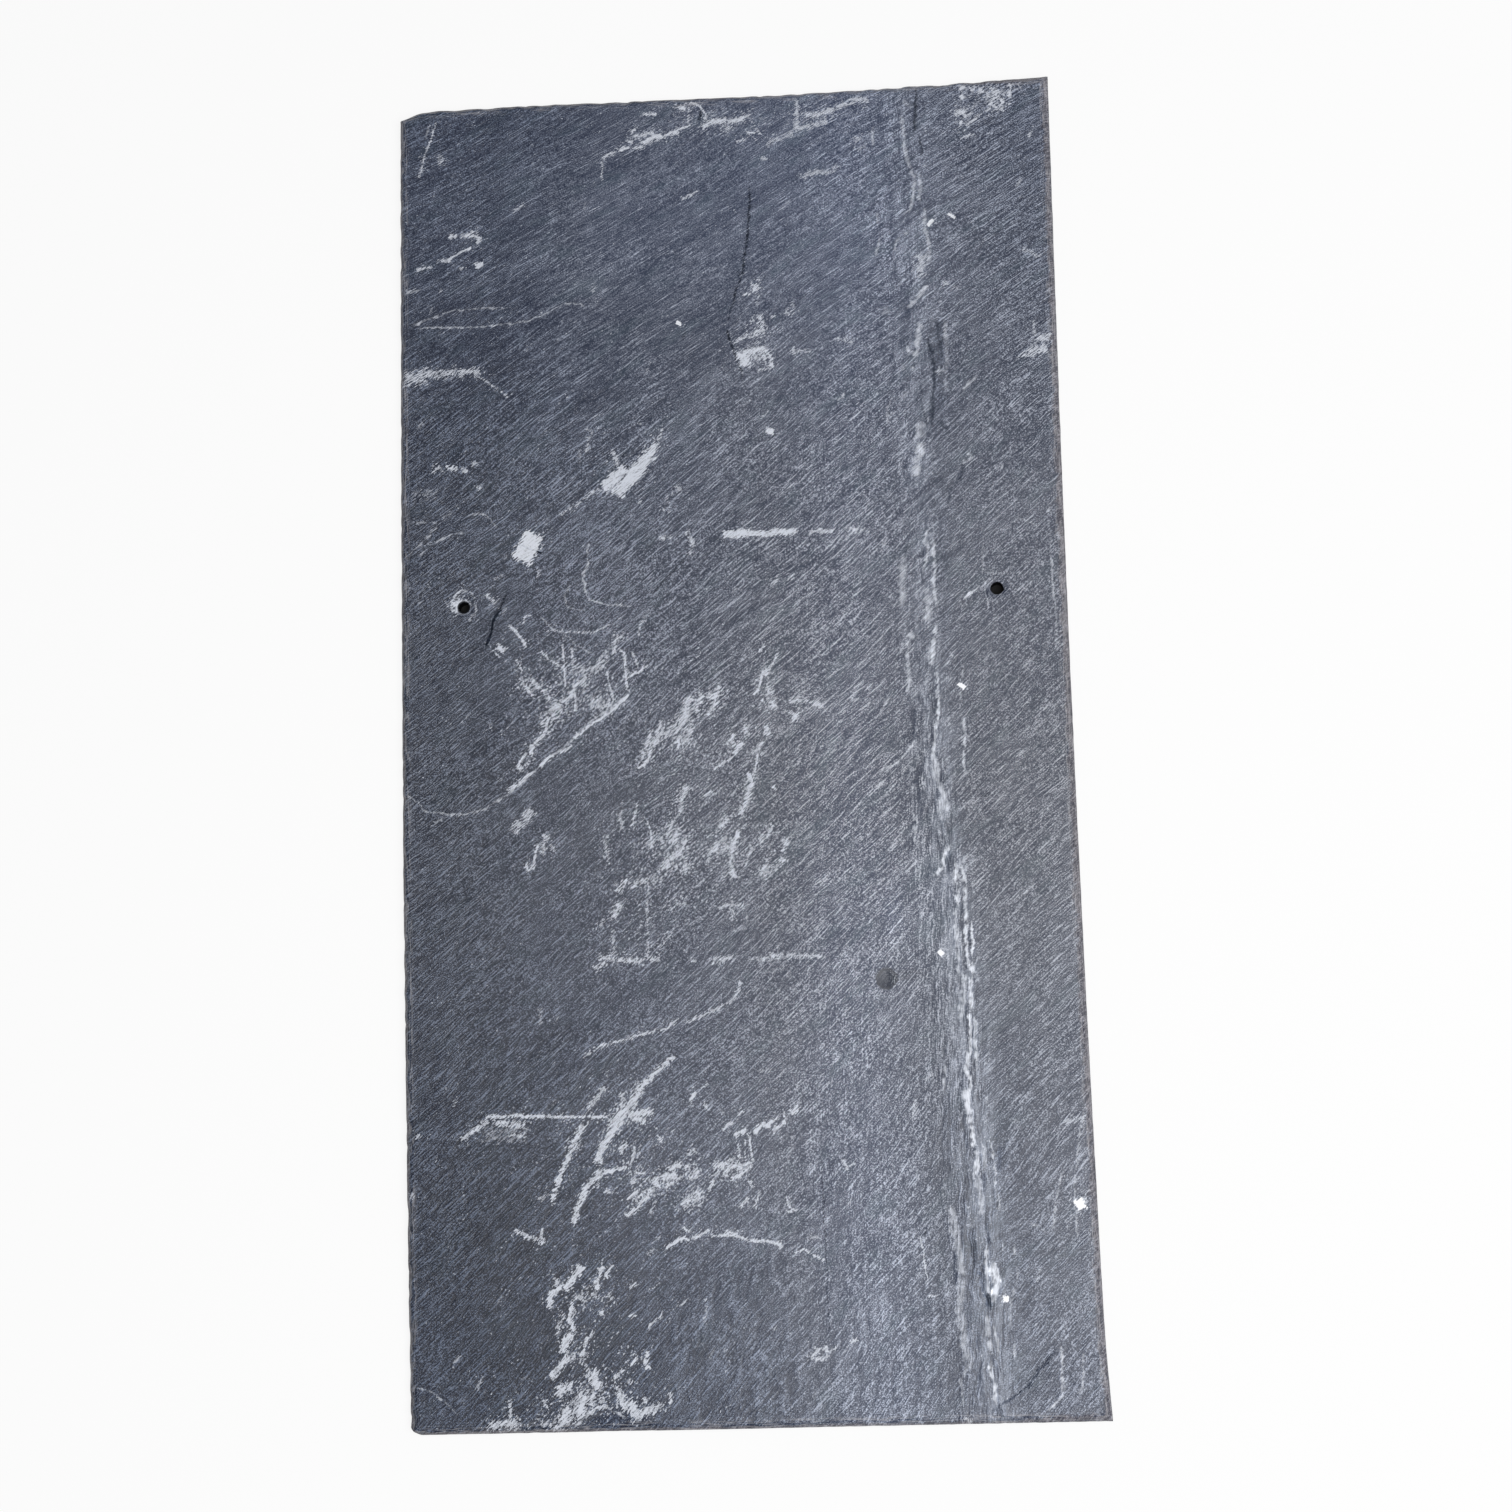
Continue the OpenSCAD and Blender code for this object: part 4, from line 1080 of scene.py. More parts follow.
def mark_relief(x, y):
    """Ridges and lenses of the vein, broken sheets and pits."""
    relief = np.zeros(len(x))
    for ridge in RIDGES:
        near = near_stroke(ridge, x, y, RIDGE_REACH)
        best, _, along, half = measure_stroke(ridge, x[near], y[near])
        swell = 0.75 + 0.25 * hills(along / 9, half, 31)
        profile = np.exp(-(best / (RIDGE_SPREAD * ridge["width"])) ** 2)
        relief[near] += RIDGE_RISE * ridge["strength"] * swell * profile
    for half_width, half_length, rise, pixel in VEIN_LENSES:
        lens_x, lens_y = on_face(*pixel)
        off = (x - lens_x) - (vein_x(y) - vein_x(lens_y)) * LENS_LEAN
        apart = np.hypot(off / half_width, (y - lens_y) / half_length)
        relief += rise * eased(1.25 * (1 - apart)) * (0.85 + 0.15 * hills(x / 1.7, y / 9, 32))
    for sheet in SHEETS:
        near = near_stroke(sheet, x, y, SHEET_REACH)
        best, side, along, half = measure_stroke(faces_light(sheet), x[near], y[near])
        fade = eased(1 - best / SHEET_FADE) * eased((half + 2 - np.abs(along)) / 4)
        relief[near] += SHEET_RISE * fade * (2 * eased(0.5 + side / SHEET_SLOPE) - 1)
    for radius, depth, (px, py) in PIT_PLACES:
        apart = np.hypot(x - px, y - py) / radius
        relief -= depth * (1 - eased(apart)) ** 0.8
        relief += PIT_LIP * depth * np.exp(-((apart - 1.15) / 0.25) ** 2)
    return relief


def perimeter_place(x, y):
    """Distance in mm round the outline from the middle of the head, on which the dressing flakes run."""
    return np.arctan2(x / HALF_WIDTH_MM, y / HALF_LENGTH_MM) / (2 * math.pi) * ROUND_MM


def dressing_relief(x, y, inside):
    """Scoops that the dressing knife left along the edges, in mm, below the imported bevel."""
    run = perimeter_place(x, y)
    turn = run / (FLAKE_LENGTH + FLAKE_VARIES * hills(run / 31, 0, 41))
    flake = np.floor(turn)
    size = 0.5 + 0.5 * np.sin(flake * 12.9898) ** 2
    bowl = np.sin(math.pi * (turn - flake)) * size
    reach = FLAKE_REACH + FLAKE_BOWL * bowl
    scoop = np.clip(1 - inside / reach, 0, 1)
    ripples = FLAKE_RIPPLE * np.sin(9 * scoop + 3 * flake) * (scoop > 0)
    worn = WORN_DEPTH * np.clip(1 - inside / WORN_REACH, 0, 1)
    return -(FLAKE_DEPTH * scoop ** 1.3 + ripples * scoop) - worn


# The tile's mesh

def station_line(half, count):
    """Places from one rim to the other, with short steps near the rims and even ones between."""
    start = half - RIM_INSET
    inner = (start - RIM_STEPS.sum()) / (count // 2 - len(RIM_STEPS))
    steps = np.concatenate([RIM_STEPS, np.full(count // 2 - len(RIM_STEPS), inner)])
    left = np.concatenate([[0], np.cumsum(steps)]) - start
    return np.concatenate([left, -left[-2::-1]])


def crowd_vein(line):
    """The same line with more of its places inside the vein's band."""
    low, high = VEIN_BAND
    count = len(line) - 1
    rim = len(RIM_STEPS)
    inner = np.linspace(line[rim], line[-rim - 1], 4001)
    crowding = 1 + (VEIN_COLUMNS / (high - low)) / (count / WIDTH) * 0.9 * (
        eased((inner - low) / (8 * MM)) * eased((high - inner) / (8 * MM))
    )
    run = np.concatenate([[0], np.cumsum((crowding[1:] + crowding[:-1]) / 2)])
    shares = np.linspace(0, run[-1], count - 2 * rim + 1)
    return np.concatenate([line[:rim], np.interp(shares, run, inner), line[-rim:]])


COLUMN_LINE = crowd_vein(station_line(WIDTH / 2, FACE_COLUMNS))
ROW_LINE = station_line(LENGTH / 2, FACE_ROWS)


def nominal(plan):
    """Places on the true rectangle of points whose plan runs from -1 to 1 each way."""
    x = np.interp((plan[:, 0] + 1) / 2 * FACE_COLUMNS, np.arange(FACE_COLUMNS + 1), COLUMN_LINE)
    y = np.interp((plan[:, 1] + 1) / 2 * FACE_ROWS, np.arange(FACE_ROWS + 1), ROW_LINE)
    return x, y


def blank_slate():
    """Face, edge and back as one closed mesh, on a plan from -1 to 1 with one level for each ring."""
    bm = bmesh.new()
    bmesh.ops.create_grid(bm, x_segments=FACE_COLUMNS, y_segments=FACE_ROWS, size=1)
    plan = np.array([v.co[:2] for v in bm.verts])
    x, y = nominal(plan)
    close = np.zeros(len(x), bool)
    for hole in HOLES:
        close |= np.hypot(x - hole.x, y - hole.y) < HOLE_PATCH
    bm.verts.ensure_lookup_table()
    near = {bm.verts[i] for i in np.flatnonzero(close)}
    cut = [e for e in bm.edges if e.verts[0] in near and e.verts[1] in near]
    bmesh.ops.subdivide_edges(bm, edges=cut, cuts=2, use_grid_fill=True)
    ring = [e for e in bm.edges if e.is_boundary]
    for _ in range(EDGE_RINGS):
        grown = bmesh.ops.extrude_edge_only(bm, edges=ring)["geom"]
        moved = [g for g in grown if isinstance(g, bmesh.types.BMVert)]
        ring = [g for g in grown if isinstance(g, bmesh.types.BMEdge) and g.is_boundary]
        bmesh.ops.translate(bm, verts=moved, vec=(0, 0, -1))
    back = bmesh.ops.create_grid(
        bm, x_segments=FACE_COLUMNS // BACK_RATIO, y_segments=FACE_ROWS // BACK_RATIO, size=1
    )["verts"]
    bmesh.ops.translate(bm, verts=back, vec=(0, 0, -EDGE_RINGS - 1))
    back_set = set(back)
    back_ring = [e for e in bm.edges if e.is_boundary and e.verts[0] in back_set]
    bmesh.ops.bridge_loops(bm, edges=ring + back_ring)
    bmesh.ops.recalc_face_normals(bm, faces=bm.faces)
    return mesh_of(bm, "slate")


def read_points(mesh):
    flat = np.empty(len(mesh.vertices) * 3)
    mesh.vertices.foreach_get("co", flat)
    return flat.reshape(-1, 3)


def write_points(mesh, points):
    mesh.vertices.foreach_set("co", points.ravel())
    mesh.update()


def shape_face(x, y):
    """Height of the finished face in metres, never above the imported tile's box."""
    x_mm, y_mm = x / MM, y / MM
    inside = edge_distance(x, y)
    height = packed_height(x, y)
    smooth = read_map(smooth_height_map(), x, y)
    trust = eased((inside / MM - 5) / 4)
    for hole in HOLES:
        apart = np.hypot(x - hole.x, y - hole.y)
        trust *= eased((apart - CRATER_RADIUS) / (3 * MM))
    height = height * (1 - trust) + smooth * trust
    calm = eased(inside / MM / 2.5)
    relief = (riven_relief(x_mm, y_mm) + mark_relief(x_mm, y_mm)) * calm
    relief += dressing_relief(x_mm, y_mm, inside / MM)
    return np.minimum(height + relief * MM, TOP_LEVEL)


# On the plan the rim is at 1, and the side walls end this high above the bed
ON_RIM = 0.99999
FOOT = 0.25 * MM
LEDGE = 0.22 * MM
WALL_WAVE = 0.10 * MM
# The highest that the face may rise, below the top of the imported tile
TOP_LEVEL = CAD_BOX[1].z - 0.02 * MM


def slate_mesh():
    """The whole tile but for its nail holes."""
    mesh = blank_slate()
    points = read_points(mesh)
    level = np.rint(-points[:, 2]).astype(int)
    x0, y0 = nominal(points[:, :2])
    out = points.copy()

    face = level == 0
    x, y = placed(x0[face], y0[face])
    out[face, 0], out[face, 1] = x, y
    out[face, 2] = shape_face(x, y)

    rim = face & (np.abs(points[:, :2]).max(axis=1) > ON_RIM)
    rim_run = perimeter_place(x0[rim] / MM, y0[rim] / MM)
    order = np.argsort(rim_run)
    rim_line = (rim_run[order], out[rim, 2][order])

    for ring in range(1, EDGE_RINGS + 1):
        here = level == ring
        run = perimeter_place(x0[here] / MM, y0[here] / MM)
        rim_z = np.interp(run, *rim_line, period=ROUND_MM)
        share = ring / EDGE_RINGS
        ledge = 0.5 + 0.5 * hills(run / 7, ring * 1.7, 61)
        ledge += 0.35 * hills(run / 2.1, ring * 2.9, 62)
        inset = RIM_INSET * (1 - share) * 0.8 + LEDGE * np.clip(ledge, 0, 1.2)
        at_side = np.abs(points[here, 0]) > ON_RIM
        at_end = np.abs(points[here, 1]) > ON_RIM
        x_out = np.where(at_side, np.sign(x0[here]) * (WIDTH / 2 - inset), x0[here])
        y_out = np.where(at_end, np.sign(y0[here]) * (LENGTH / 2 - inset), y0[here])
        x, y = placed(x_out, y_out)
        out[here, 0], out[here, 1] = x, y
        wave = WALL_WAVE * hills(run / 5, ring, 63) * (0 < share < 1)
        out[here, 2] = FOOT + (rim_z - FOOT) * (1 - share) + wave

    back = level == EDGE_RINGS + 1
    plan_x = points[back, 0] * (WIDTH / 2 - BACK_INSET)
    plan_y = points[back, 1] * (LENGTH / 2 - BACK_INSET)
    x, y = placed(plan_x, plan_y)
    out[back, 0], out[back, 1] = x, y
    along, across, _ = grain_coordinates(-x / MM, y / MM)
    hollow = 0.10 * (1 + hills(along / 60, across / 26, 71)) + 0.05 * (1 + hills(along / 15, across / 6, 72))
    out[back, 2] = hollow * MM
    write_points(mesh, out)
    return mesh


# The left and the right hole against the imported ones, and the chip at the side of the right one:
# its depth as a share of the radius, and where it is and how wide it is, in radians
PUNCH_SIZES = (0.88, 1.02)
RIGHT_CHIP = 0.20
CHIP_TURN = -0.25
CHIP_WIDTH = 0.35
PUNCH_LENGTH = 20 * MM
PUNCH_MIDDLE = 5 * MM


def nail_punch(hole, number):
    """A slightly uneven round cutter on the axis of one nail hole."""
    bm = bmesh.new()
    bmesh.ops.create_cone(
        bm, cap_ends=True, segments=40, radius1=HOLE_RADIUS, radius2=HOLE_RADIUS, depth=PUNCH_LENGTH
    )
    for v in bm.verts:
        around = math.atan2(v.co.y, v.co.x)
        chip = RIGHT_CHIP * number * math.exp(-((around - CHIP_TURN) / CHIP_WIDTH) ** 2)
        uneven = 0.015 * math.sin(3 * around + number) + 0.01 * math.sin(7 * around)
        reach = PUNCH_SIZES[number] - uneven + chip
        v.co.x *= reach
        v.co.y *= reach
    bmesh.ops.translate(bm, verts=bm.verts, vec=(hole.x, hole.y, PUNCH_MIDDLE))
    return set_in_scene("nail_punch", mesh_of(bm, "nail_punch"))


def punched(tile):
    """The tile with both nail holes cut through it."""
    for number, hole in enumerate(HOLES):
        punch = nail_punch(hole, number)
        cut = tile.modifiers.new("nail_hole", "BOOLEAN")
        cut.operation = "DIFFERENCE"
        cut.solver = "EXACT"
        cut.object = punch
        bpy.context.view_layer.update()
        shown = tile.evaluated_get(bpy.context.evaluated_depsgraph_get())
        finished = bpy.data.meshes.new_from_object(shown)
        tile.modifiers.clear()
        tile.data = finished
        bpy.data.objects.remove(punch)


# Marks written onto the mesh, so that the finish can draw them sharper than the mesh is

MARK_LAYERS = 5
RIDGE_LAYERS = 3
# How strongly the painted highlight and shade at the edge of a broken sheet show, as a share of its strength
# as a mark
SHEET_LIGHT_AND_SHADE = 0.8
# The half width written where no mark is near
NO_MARK = -4.0
# Waves that make a mark's sides uneven: length and height in mm
MARK_WAVES = ((3.1, 0.30), (1.3, 0.22))
STRAY_MARKS = 200
# Above this height, in metres, a point is on the face side and takes marks
FACE_SIDE = 3 * MM
# How near two marks are before they are measured against each other, in mm
NEIGHBOUR_REACH = 6


def stray_marks():
    """Small scuffs and nicks that lie all over the face."""
    draw = random.Random(20)
    strokes = []
    for _ in range(STRAY_MARKS):
        x, y = draw.uniform(-118, 120), draw.uniform(-243, 243)
        turn = draw.gauss(0.85, 0.45)
        half = draw.uniform(0.3, 2.4)
        reach = np.array((math.cos(turn), math.sin(turn))) * half
        middle = np.array((x, y))
        strokes.append({
            "width": draw.uniform(0.35, 1.0),
            "strength": draw.uniform(0.15, 0.55) * (1 if draw.random() < 0.75 else -1),
            "points": np.array([middle - reach, middle + reach]),
            "beyond": REACH_BEYOND,
        })
    return strokes


def share_out(strokes, count):
    """Strokes dealt to layers, so that those on one layer keep clear of each other."""
    layers = [[] for _ in range(count)]
    for stroke in strokes:
        reach = stroke_reach(stroke)
        line = dense_points(stroke).T
        low, high = stroke["points"].min(axis=0) - reach, stroke["points"].max(axis=0) + reach
        gaps = []
        for layer in layers:
            gap = np.inf
            for other in layer:
                below = other["points"].min(axis=0) - NEIGHBOUR_REACH
                above = other["points"].max(axis=0) + NEIGHBOUR_REACH
                if (below < high).all() and (above > low).all():
                    gap = min(gap, measure_stroke(other, *line)[0].min() - stroke_reach(other) - reach)
            gaps.append(gap)
        clear = [k for k, gap in enumerate(gaps) if gap > 0]
        layers[clear[0] if clear else int(np.argmax(gaps))].append(stroke)
    return layers


def dense_points(stroke):
    """Places along a stroke, no more than 1 mm apart."""
    points = stroke["points"]
    out = [points[0]]
    for a, b in zip(points[:-1], points[1:]):
        count = max(1, int(np.hypot(*(b - a))))
        out += [a + (b - a) * (k + 1) / count for k in range(count)]
    return np.array(out)


def write_attribute(mesh, name, kind, field, values):
    made = mesh.attributes.new(name, kind, "POINT")
    made.data.foreach_set(field, np.asarray(values, np.float32).ravel())


# Where the face is rubbed all over: the middle in pixels, the reach in mm each way and how strongly
RUBBED_PLACES = [
    ((560, 690), (22, 20), 0.55),
    ((690, 740), (26, 26), 0.45),
    ((690, 860), (34, 24), 0.60),
    ((650, 940), (22, 14), 0.35),
    ((620, 1140), (34, 26), 0.26),
    ((700, 1190), (26, 14), 0.30),
    ((590, 1330), (24, 30), 0.28),
    ((570, 1410), (36, 9), 0.32),
    ((740, 120), (50, 11), 0.40),
    ((985, 95), (12, 6), 0.45),
    ((760, 340), (10, 14), 0.30),
    ((790, 700), (16, 10), 0.25),
    ((925, 900), (14, 40), 0.25),
    ((970, 1100), (12, 60), 0.30),
    ((1075, 1220), (8, 40), 0.25),
    ((460, 120), (12, 6), 0.20),
]


# How much of the face is rubbed everywhere, and beside a scuff, which fades over so many mm
RUBBED_EVERYWHERE = 0.08
RUBBED_BESIDE = 0.30
RUBBED_FADE = 2.2
RUBBED_REACH = 7


def patches(places, x, y):
    """The sum of soft patches. Each has its middle in pixels, its reach in mm each way and an amount."""
    total = np.zeros(len(x))
    for pixel, (reach_x, reach_y), amount in places:
        middle_x, middle_y = on_face(*pixel)
        total += amount * np.exp(-((x - middle_x) / reach_x) ** 2 - ((y - middle_y) / reach_y) ** 2)
    return total


def rubbing(x, y):
    """How much of the face round each place is scuffed pale, from 0 to 1."""
    amount = RUBBED_EVERYWHERE + patches(RUBBED_PLACES, x, y)
    for scuff in SCUFFS:
        near = near_stroke(scuff, x, y, RUBBED_REACH)
        beyond = np.maximum(0, measure_stroke(scuff, x[near], y[near])[0] - scuff["width"] / 2)
        amount[near] += RUBBED_BESIDE * scuff["strength"] * np.exp(-(beyond / RUBBED_FADE) ** 2)
    return np.clip(amount, 0, 1)


# Broad light and dark of the face, for each x in mm and then in places, as for the rubbed places. It is
# partly the stone's own tone and partly painted light: a painted sheen that brightens the face from the left
# edge to right of the middle, where the window's reflection falls, and painted shade and highlight on the
# vein's hollows and ridges.
TONE_SHEEN_AND_SHADE_ACROSS = (
    (-125, 0.42), (-95, 0.46), (-62, 0.60), (-30, 0.76), (0, 0.90),
    (45, 1.22), (78, 0.98), (110, 1.01), (125, 0.97),
)
TONE_SHEEN_AND_SHADE_PLACES = [
    ((430, 220), (30, 60), 0.24),
    ((600, 230), (36, 58), 0.42),
    ((740, 200), (34, 60), 0.26),
    ((880, 220), (24, 60), 0.28),
    ((1020, 200), (16, 70), -0.10),
    ((540, 1270), (46, 90), -0.18),
    ((650, 1375), (40, 46), -0.18),
    ((790, 1390), (26, 44), -0.14),
    ((870, 860), (20, 60), 0.10),
    ((850, 1120), (18, 130), 0.24),
    ((925, 905), (12, 24), 0.24),
    ((910, 1300), (12, 70), 0.16),
    ((1092, 1150), (12, 110), 0.10),
    ((1030, 1180), (12, 60), -0.06),
    ((985, 1300), (10, 60), -0.10),
    ((893, 916), (4, 9), 0.40),
    ((938, 344), (2.6, 10), -0.52),
    ((940, 395), (2.4, 12), -0.26),
    ((915, 462), (3.6, 9), 0.30),
    ((918, 342), (2.0, 7), 0.20),
    ((927, 560), (2.6, 24), 0.16),
    ((942, 560), (2.4, 40), -0.12),
    ((943, 805), (5, 7), 0.24),
    ((908, 975), (5, 1.5), -0.46),
    ((904, 100), (2.6, 10), -0.16),
    ((940, 1240), (30, 60), -0.09),
    ((972, 1240), (2.4, 22), -0.30),
    ((955, 1265), (2.2, 24), 0.17),
    ((951, 1130), (2.6, 18), -0.16),
    ((969, 1100), (2.4, 16), 0.20),
    ((1000, 1150), (2.0, 9), -0.34),
    ((994, 1226), (2.8, 7), -0.26),
]

# Places where the grain is scratched up and shows more strongly
ROUGH_PLACES = [
    ((610, 590), (24, 32), 0.85),
    ((720, 800), (34, 34), 0.20),
    ((720, 1060), (30, 18), 0.25),
    ((780, 1330), (44, 34), -0.22),
    ((560, 720), (24, 22), 0.25),
]


def tone_light_and_grain(x, y):
    """The slate's tone with painted sheen and shade over it, how strongly its grain shows, and how much
    painted sheen lies along the vein.
    """
    shade = np.interp(x, *zip(*TONE_SHEEN_AND_SHADE_ACROSS)) + patches(TONE_SHEEN_AND_SHADE_PLACES, x, y)
    side_rise = eased((-40 - x) / 60)
    head_calm = eased((y - 105) / 55) * eased((85 - x) / 60)
    vigour = (1 + 0.35 * side_rise) * (1 - 0.42 * head_calm) + patches(ROUGH_PLACES, x, y)
    # Painted sheen along the vein, whose rough face catches the light, growing toward the tail
    glow = np.exp(-((x - vein_x(y) + 1) / 8) ** 2) * (0.45 + 0.55 * eased((90 - y) / 150))
    return shade, vigour, glow


def write_strokes(mesh, name, layers, x, y, on_top):
    for number, layer in enumerate(layers):
        places = np.zeros((len(x), 4))
        places[:, 3] = NO_MARK
        strength = np.zeros(len(x))
        rank = np.full(len(x), -np.inf)
        for stroke in layer:
            reach = stroke_reach(stroke)
            near = near_stroke(stroke, x, y, reach)
            near = near[on_top[near]]
            best, side, along, half = measure_stroke(stroke, x[near], y[near])
            score = stroke["width"] / 2 - best
            wins = (best < reach) & (score > rank[near])
            chosen = near[wins]
            rank[chosen] = score[wins]
            places[chosen, 0] = side[wins]
            places[chosen, 1] = along[wins]
            places[chosen, 2] = half
            places[chosen, 3] = stroke["width"] / 2
            strength[chosen] = stroke["strength"]
        write_attribute(mesh, f"{name}_{number}", "FLOAT_COLOR", "color", places)
        write_attribute(mesh, f"{name}_{number}_strength", "FLOAT", "value", strength)


def write_marks(mesh):
    points = read_points(mesh)
    x, y = points[:, 0] / MM, points[:, 1] / MM
    on_top = points[:, 2] > FACE_SIDE
    x_bent, y_bent = wandered(x, y, MARK_WAVES, 81)
    strokes = SCUFFS + CRACK_LINES + stray_marks()
    sheets = [dict(faces_light(s), strength=SHEET_LIGHT_AND_SHADE * s["strength"]) for s in SHEETS]
    write_strokes(mesh, "marks", share_out(strokes, MARK_LAYERS), x_bent, y_bent, on_top)
    write_strokes(mesh, "ridges", share_out(RIDGES + sheets, RIDGE_LAYERS), x, y, on_top)
    write_attribute(mesh, "grain", "FLOAT_VECTOR", "vector", np.stack(grain_coordinates(x, y), axis=1))
    inside = edge_distance(points[:, 0], points[:, 1]) / MM
    rubbed = np.where(on_top, rubbing(x, y), 0)
    place = np.stack([inside, x - vein_x(y), rubbed], axis=1)
    write_attribute(mesh, "place", "FLOAT_VECTOR", "vector", place)
    write_attribute(mesh, "tone_light_grain", "FLOAT_VECTOR", "vector", np.stack(tone_light_and_grain(x, y), axis=1))


# Node trees that are written as maths

class Value:
    """A shader socket that can be added, scaled and compared as a number can."""

    def __init__(self, tree, socket):
        self.tree = tree
        self.socket = socket

    def math(self, operation, *others):
        return self.tree.node("ShaderNodeMath", {"operation": operation}, dict(enumerate((self,) + others)))

    def __add__(self, other):
        return self.math("ADD", other)

    def __sub__(self, other):
        return self.math("SUBTRACT", other)

    def __mul__(self, other):
        return self.math("MULTIPLY", other)

    def __truediv__(self, other):
        return self.math("DIVIDE", other)

    def __rtruediv__(self, other):
        return self.tree.node("ShaderNodeMath", {"operation": "DIVIDE"}, {0: other, 1: self})

    def __neg__(self):
        return self * -1.0

    def __rsub__(self, other):
        return (-self) + other

    __radd__ = __add__
    __rmul__ = __mul__

    def __abs__(self):
        return self.math("ABSOLUTE")

    def least(self, other):
        return self.math("MINIMUM", other)

    def most(self, other):
        return self.math("MAXIMUM", other)

    def power(self, other):
        return self.math("POWER", other)

    def ease(self, low, high):
        """0 below low, 1 above high and a smooth rise between."""
        return self.tree.node(
            "ShaderNodeMapRange",
            {"interpolation_type": "SMOOTHSTEP"},
            {"Value": self, "From Min": low, "From Max": high},
        )


class NodeTree:
    """The nodes of one material or world, and their links."""

    def __init__(self, owner):
        owner.use_nodes = True
        self.nodes = owner.node_tree.nodes
        self.links = owner.node_tree.links

    def feed(self, socket, value):
        if isinstance(value, Value):
            self.links.new(value.socket, socket)
        else:
            socket.default_value = value

    def node(self, kind, settings=None, values=None, output=0):
        made = self.nodes.new(kind)
        for name, setting in (settings or {}).items():
            setattr(made, name, setting)
        for name, value in (values or {}).items():
            self.feed(made.inputs[name], value)
        return Value(self, made.outputs[output])


class Finish(NodeTree):
    """One material and its nodes."""

    def __init__(self, name):
        self.material = bpy.data.materials.new(name)
        super().__init__(self.material)
        self.shader = self.nodes["Principled BSDF"]

    def vector(self, x, y, z):
        return self.node("ShaderNodeCombineXYZ", None, {0: x, 1: y, 2: z})

    def parts(self, vector):
        split = self.node("ShaderNodeSeparateXYZ", None, {0: vector}).socket.node
        return [Value(self, split.outputs[k]) for k in range(3)]

    def attribute(self, name, output="Vector"):
        return self.node("ShaderNodeAttribute", {"attribute_name": name}, None, output)

    def noise(self, vector, scale=1.0, detail=2.0, roughness=0.5):
        """Noise from 0 to 1, where a higher scale makes finer noise."""
        sockets = {"Vector": vector, "Scale": scale, "Detail": detail, "Roughness": roughness}
        return self.node("ShaderNodeTexNoise", None, sockets)

    def blend(self, factor, first, second, how="MIX"):
        """Two colours mixed."""
        return self.node(
            "ShaderNodeMix", {"data_type": "RGBA", "blend_type": how}, {0: factor, 6: first, 7: second}, 2
        )


def colour(red, green, blue):
    """A colour seen as these 0 to 255 numbers, as Blender wants it."""
    def linear(c):
        c /= 255
        return c / 12.92 if c <= 0.04045 else ((c + 0.055) / 1.055) ** 2.4
    return (linear(red), linear(green), linear(blue), 1.0)


def greatest(values):
    """At each point, the greatest of several shader values."""
    best = values[0]
    for value in values[1:]:
        best = best.most(value)
    return best


def within_one(value):
    return value.most(0.0).least(1.0)


# Colours of the slate, from its hollows to its crests, and of all that marks it. The pale crests are partly
# the grain's own colour and partly painted highlight on the raised grain.
VALLEY = colour(30, 40, 61)
CREST = colour(172, 175, 185)
PURPLE_TINGE = colour(88, 86, 100)
GREEN_TINGE = colour(74, 92, 98)
# Painted sheen along the vein
VEIN_SHEEN = colour(160, 168, 184)
# Painted shade on the ridges' flanks and painted highlight on their tops
RIDGE_SHADE = colour(44, 50, 62)
RIDGE_HIGHLIGHT = colour(222, 227, 238)
CRACK = colour(22, 26, 35)
SCUFF = colour(206, 211, 222)
CRYSTAL = colour(250, 251, 255)
PIT_DARK = colour(44, 49, 61)
PIT_SPECK = colour(176, 181, 190)
PUNCHED_RING = colour(196, 200, 210)
# Painted shade inside the nail holes
BORE_SHADE = colour(14, 16, 24)
RIM_HOLLOW = colour(74, 70, 76)
RIM_CREST = colour(150, 143, 146)
RIM_HAIR = colour(190, 188, 192)
SLATE_IOR = 1.52

# The dark disc in the pit: its radius in mm and how wide its edge is
PIT_DARK_RADIUS = 4.0
PIT_DARK_EDGE = 0.4
# For the left and the right nail hole: the reach of the pale ring in mm and how strongly it shows
RING_REACH = (3.3, 3.2)
RING_AMOUNT = (0.42, 0.14)
# Where the painted shade inside each nail hole fades, in mm from its axis
BORE_EDGE = (2.50, 2.38)
# The dressed rim: its width in mm at the left, what the right adds, and where across the tile it grows
RIM_WIDTH = 1.3
RIM_ADDED = 1.3
RIM_GROWS = (90.0, 110.0)


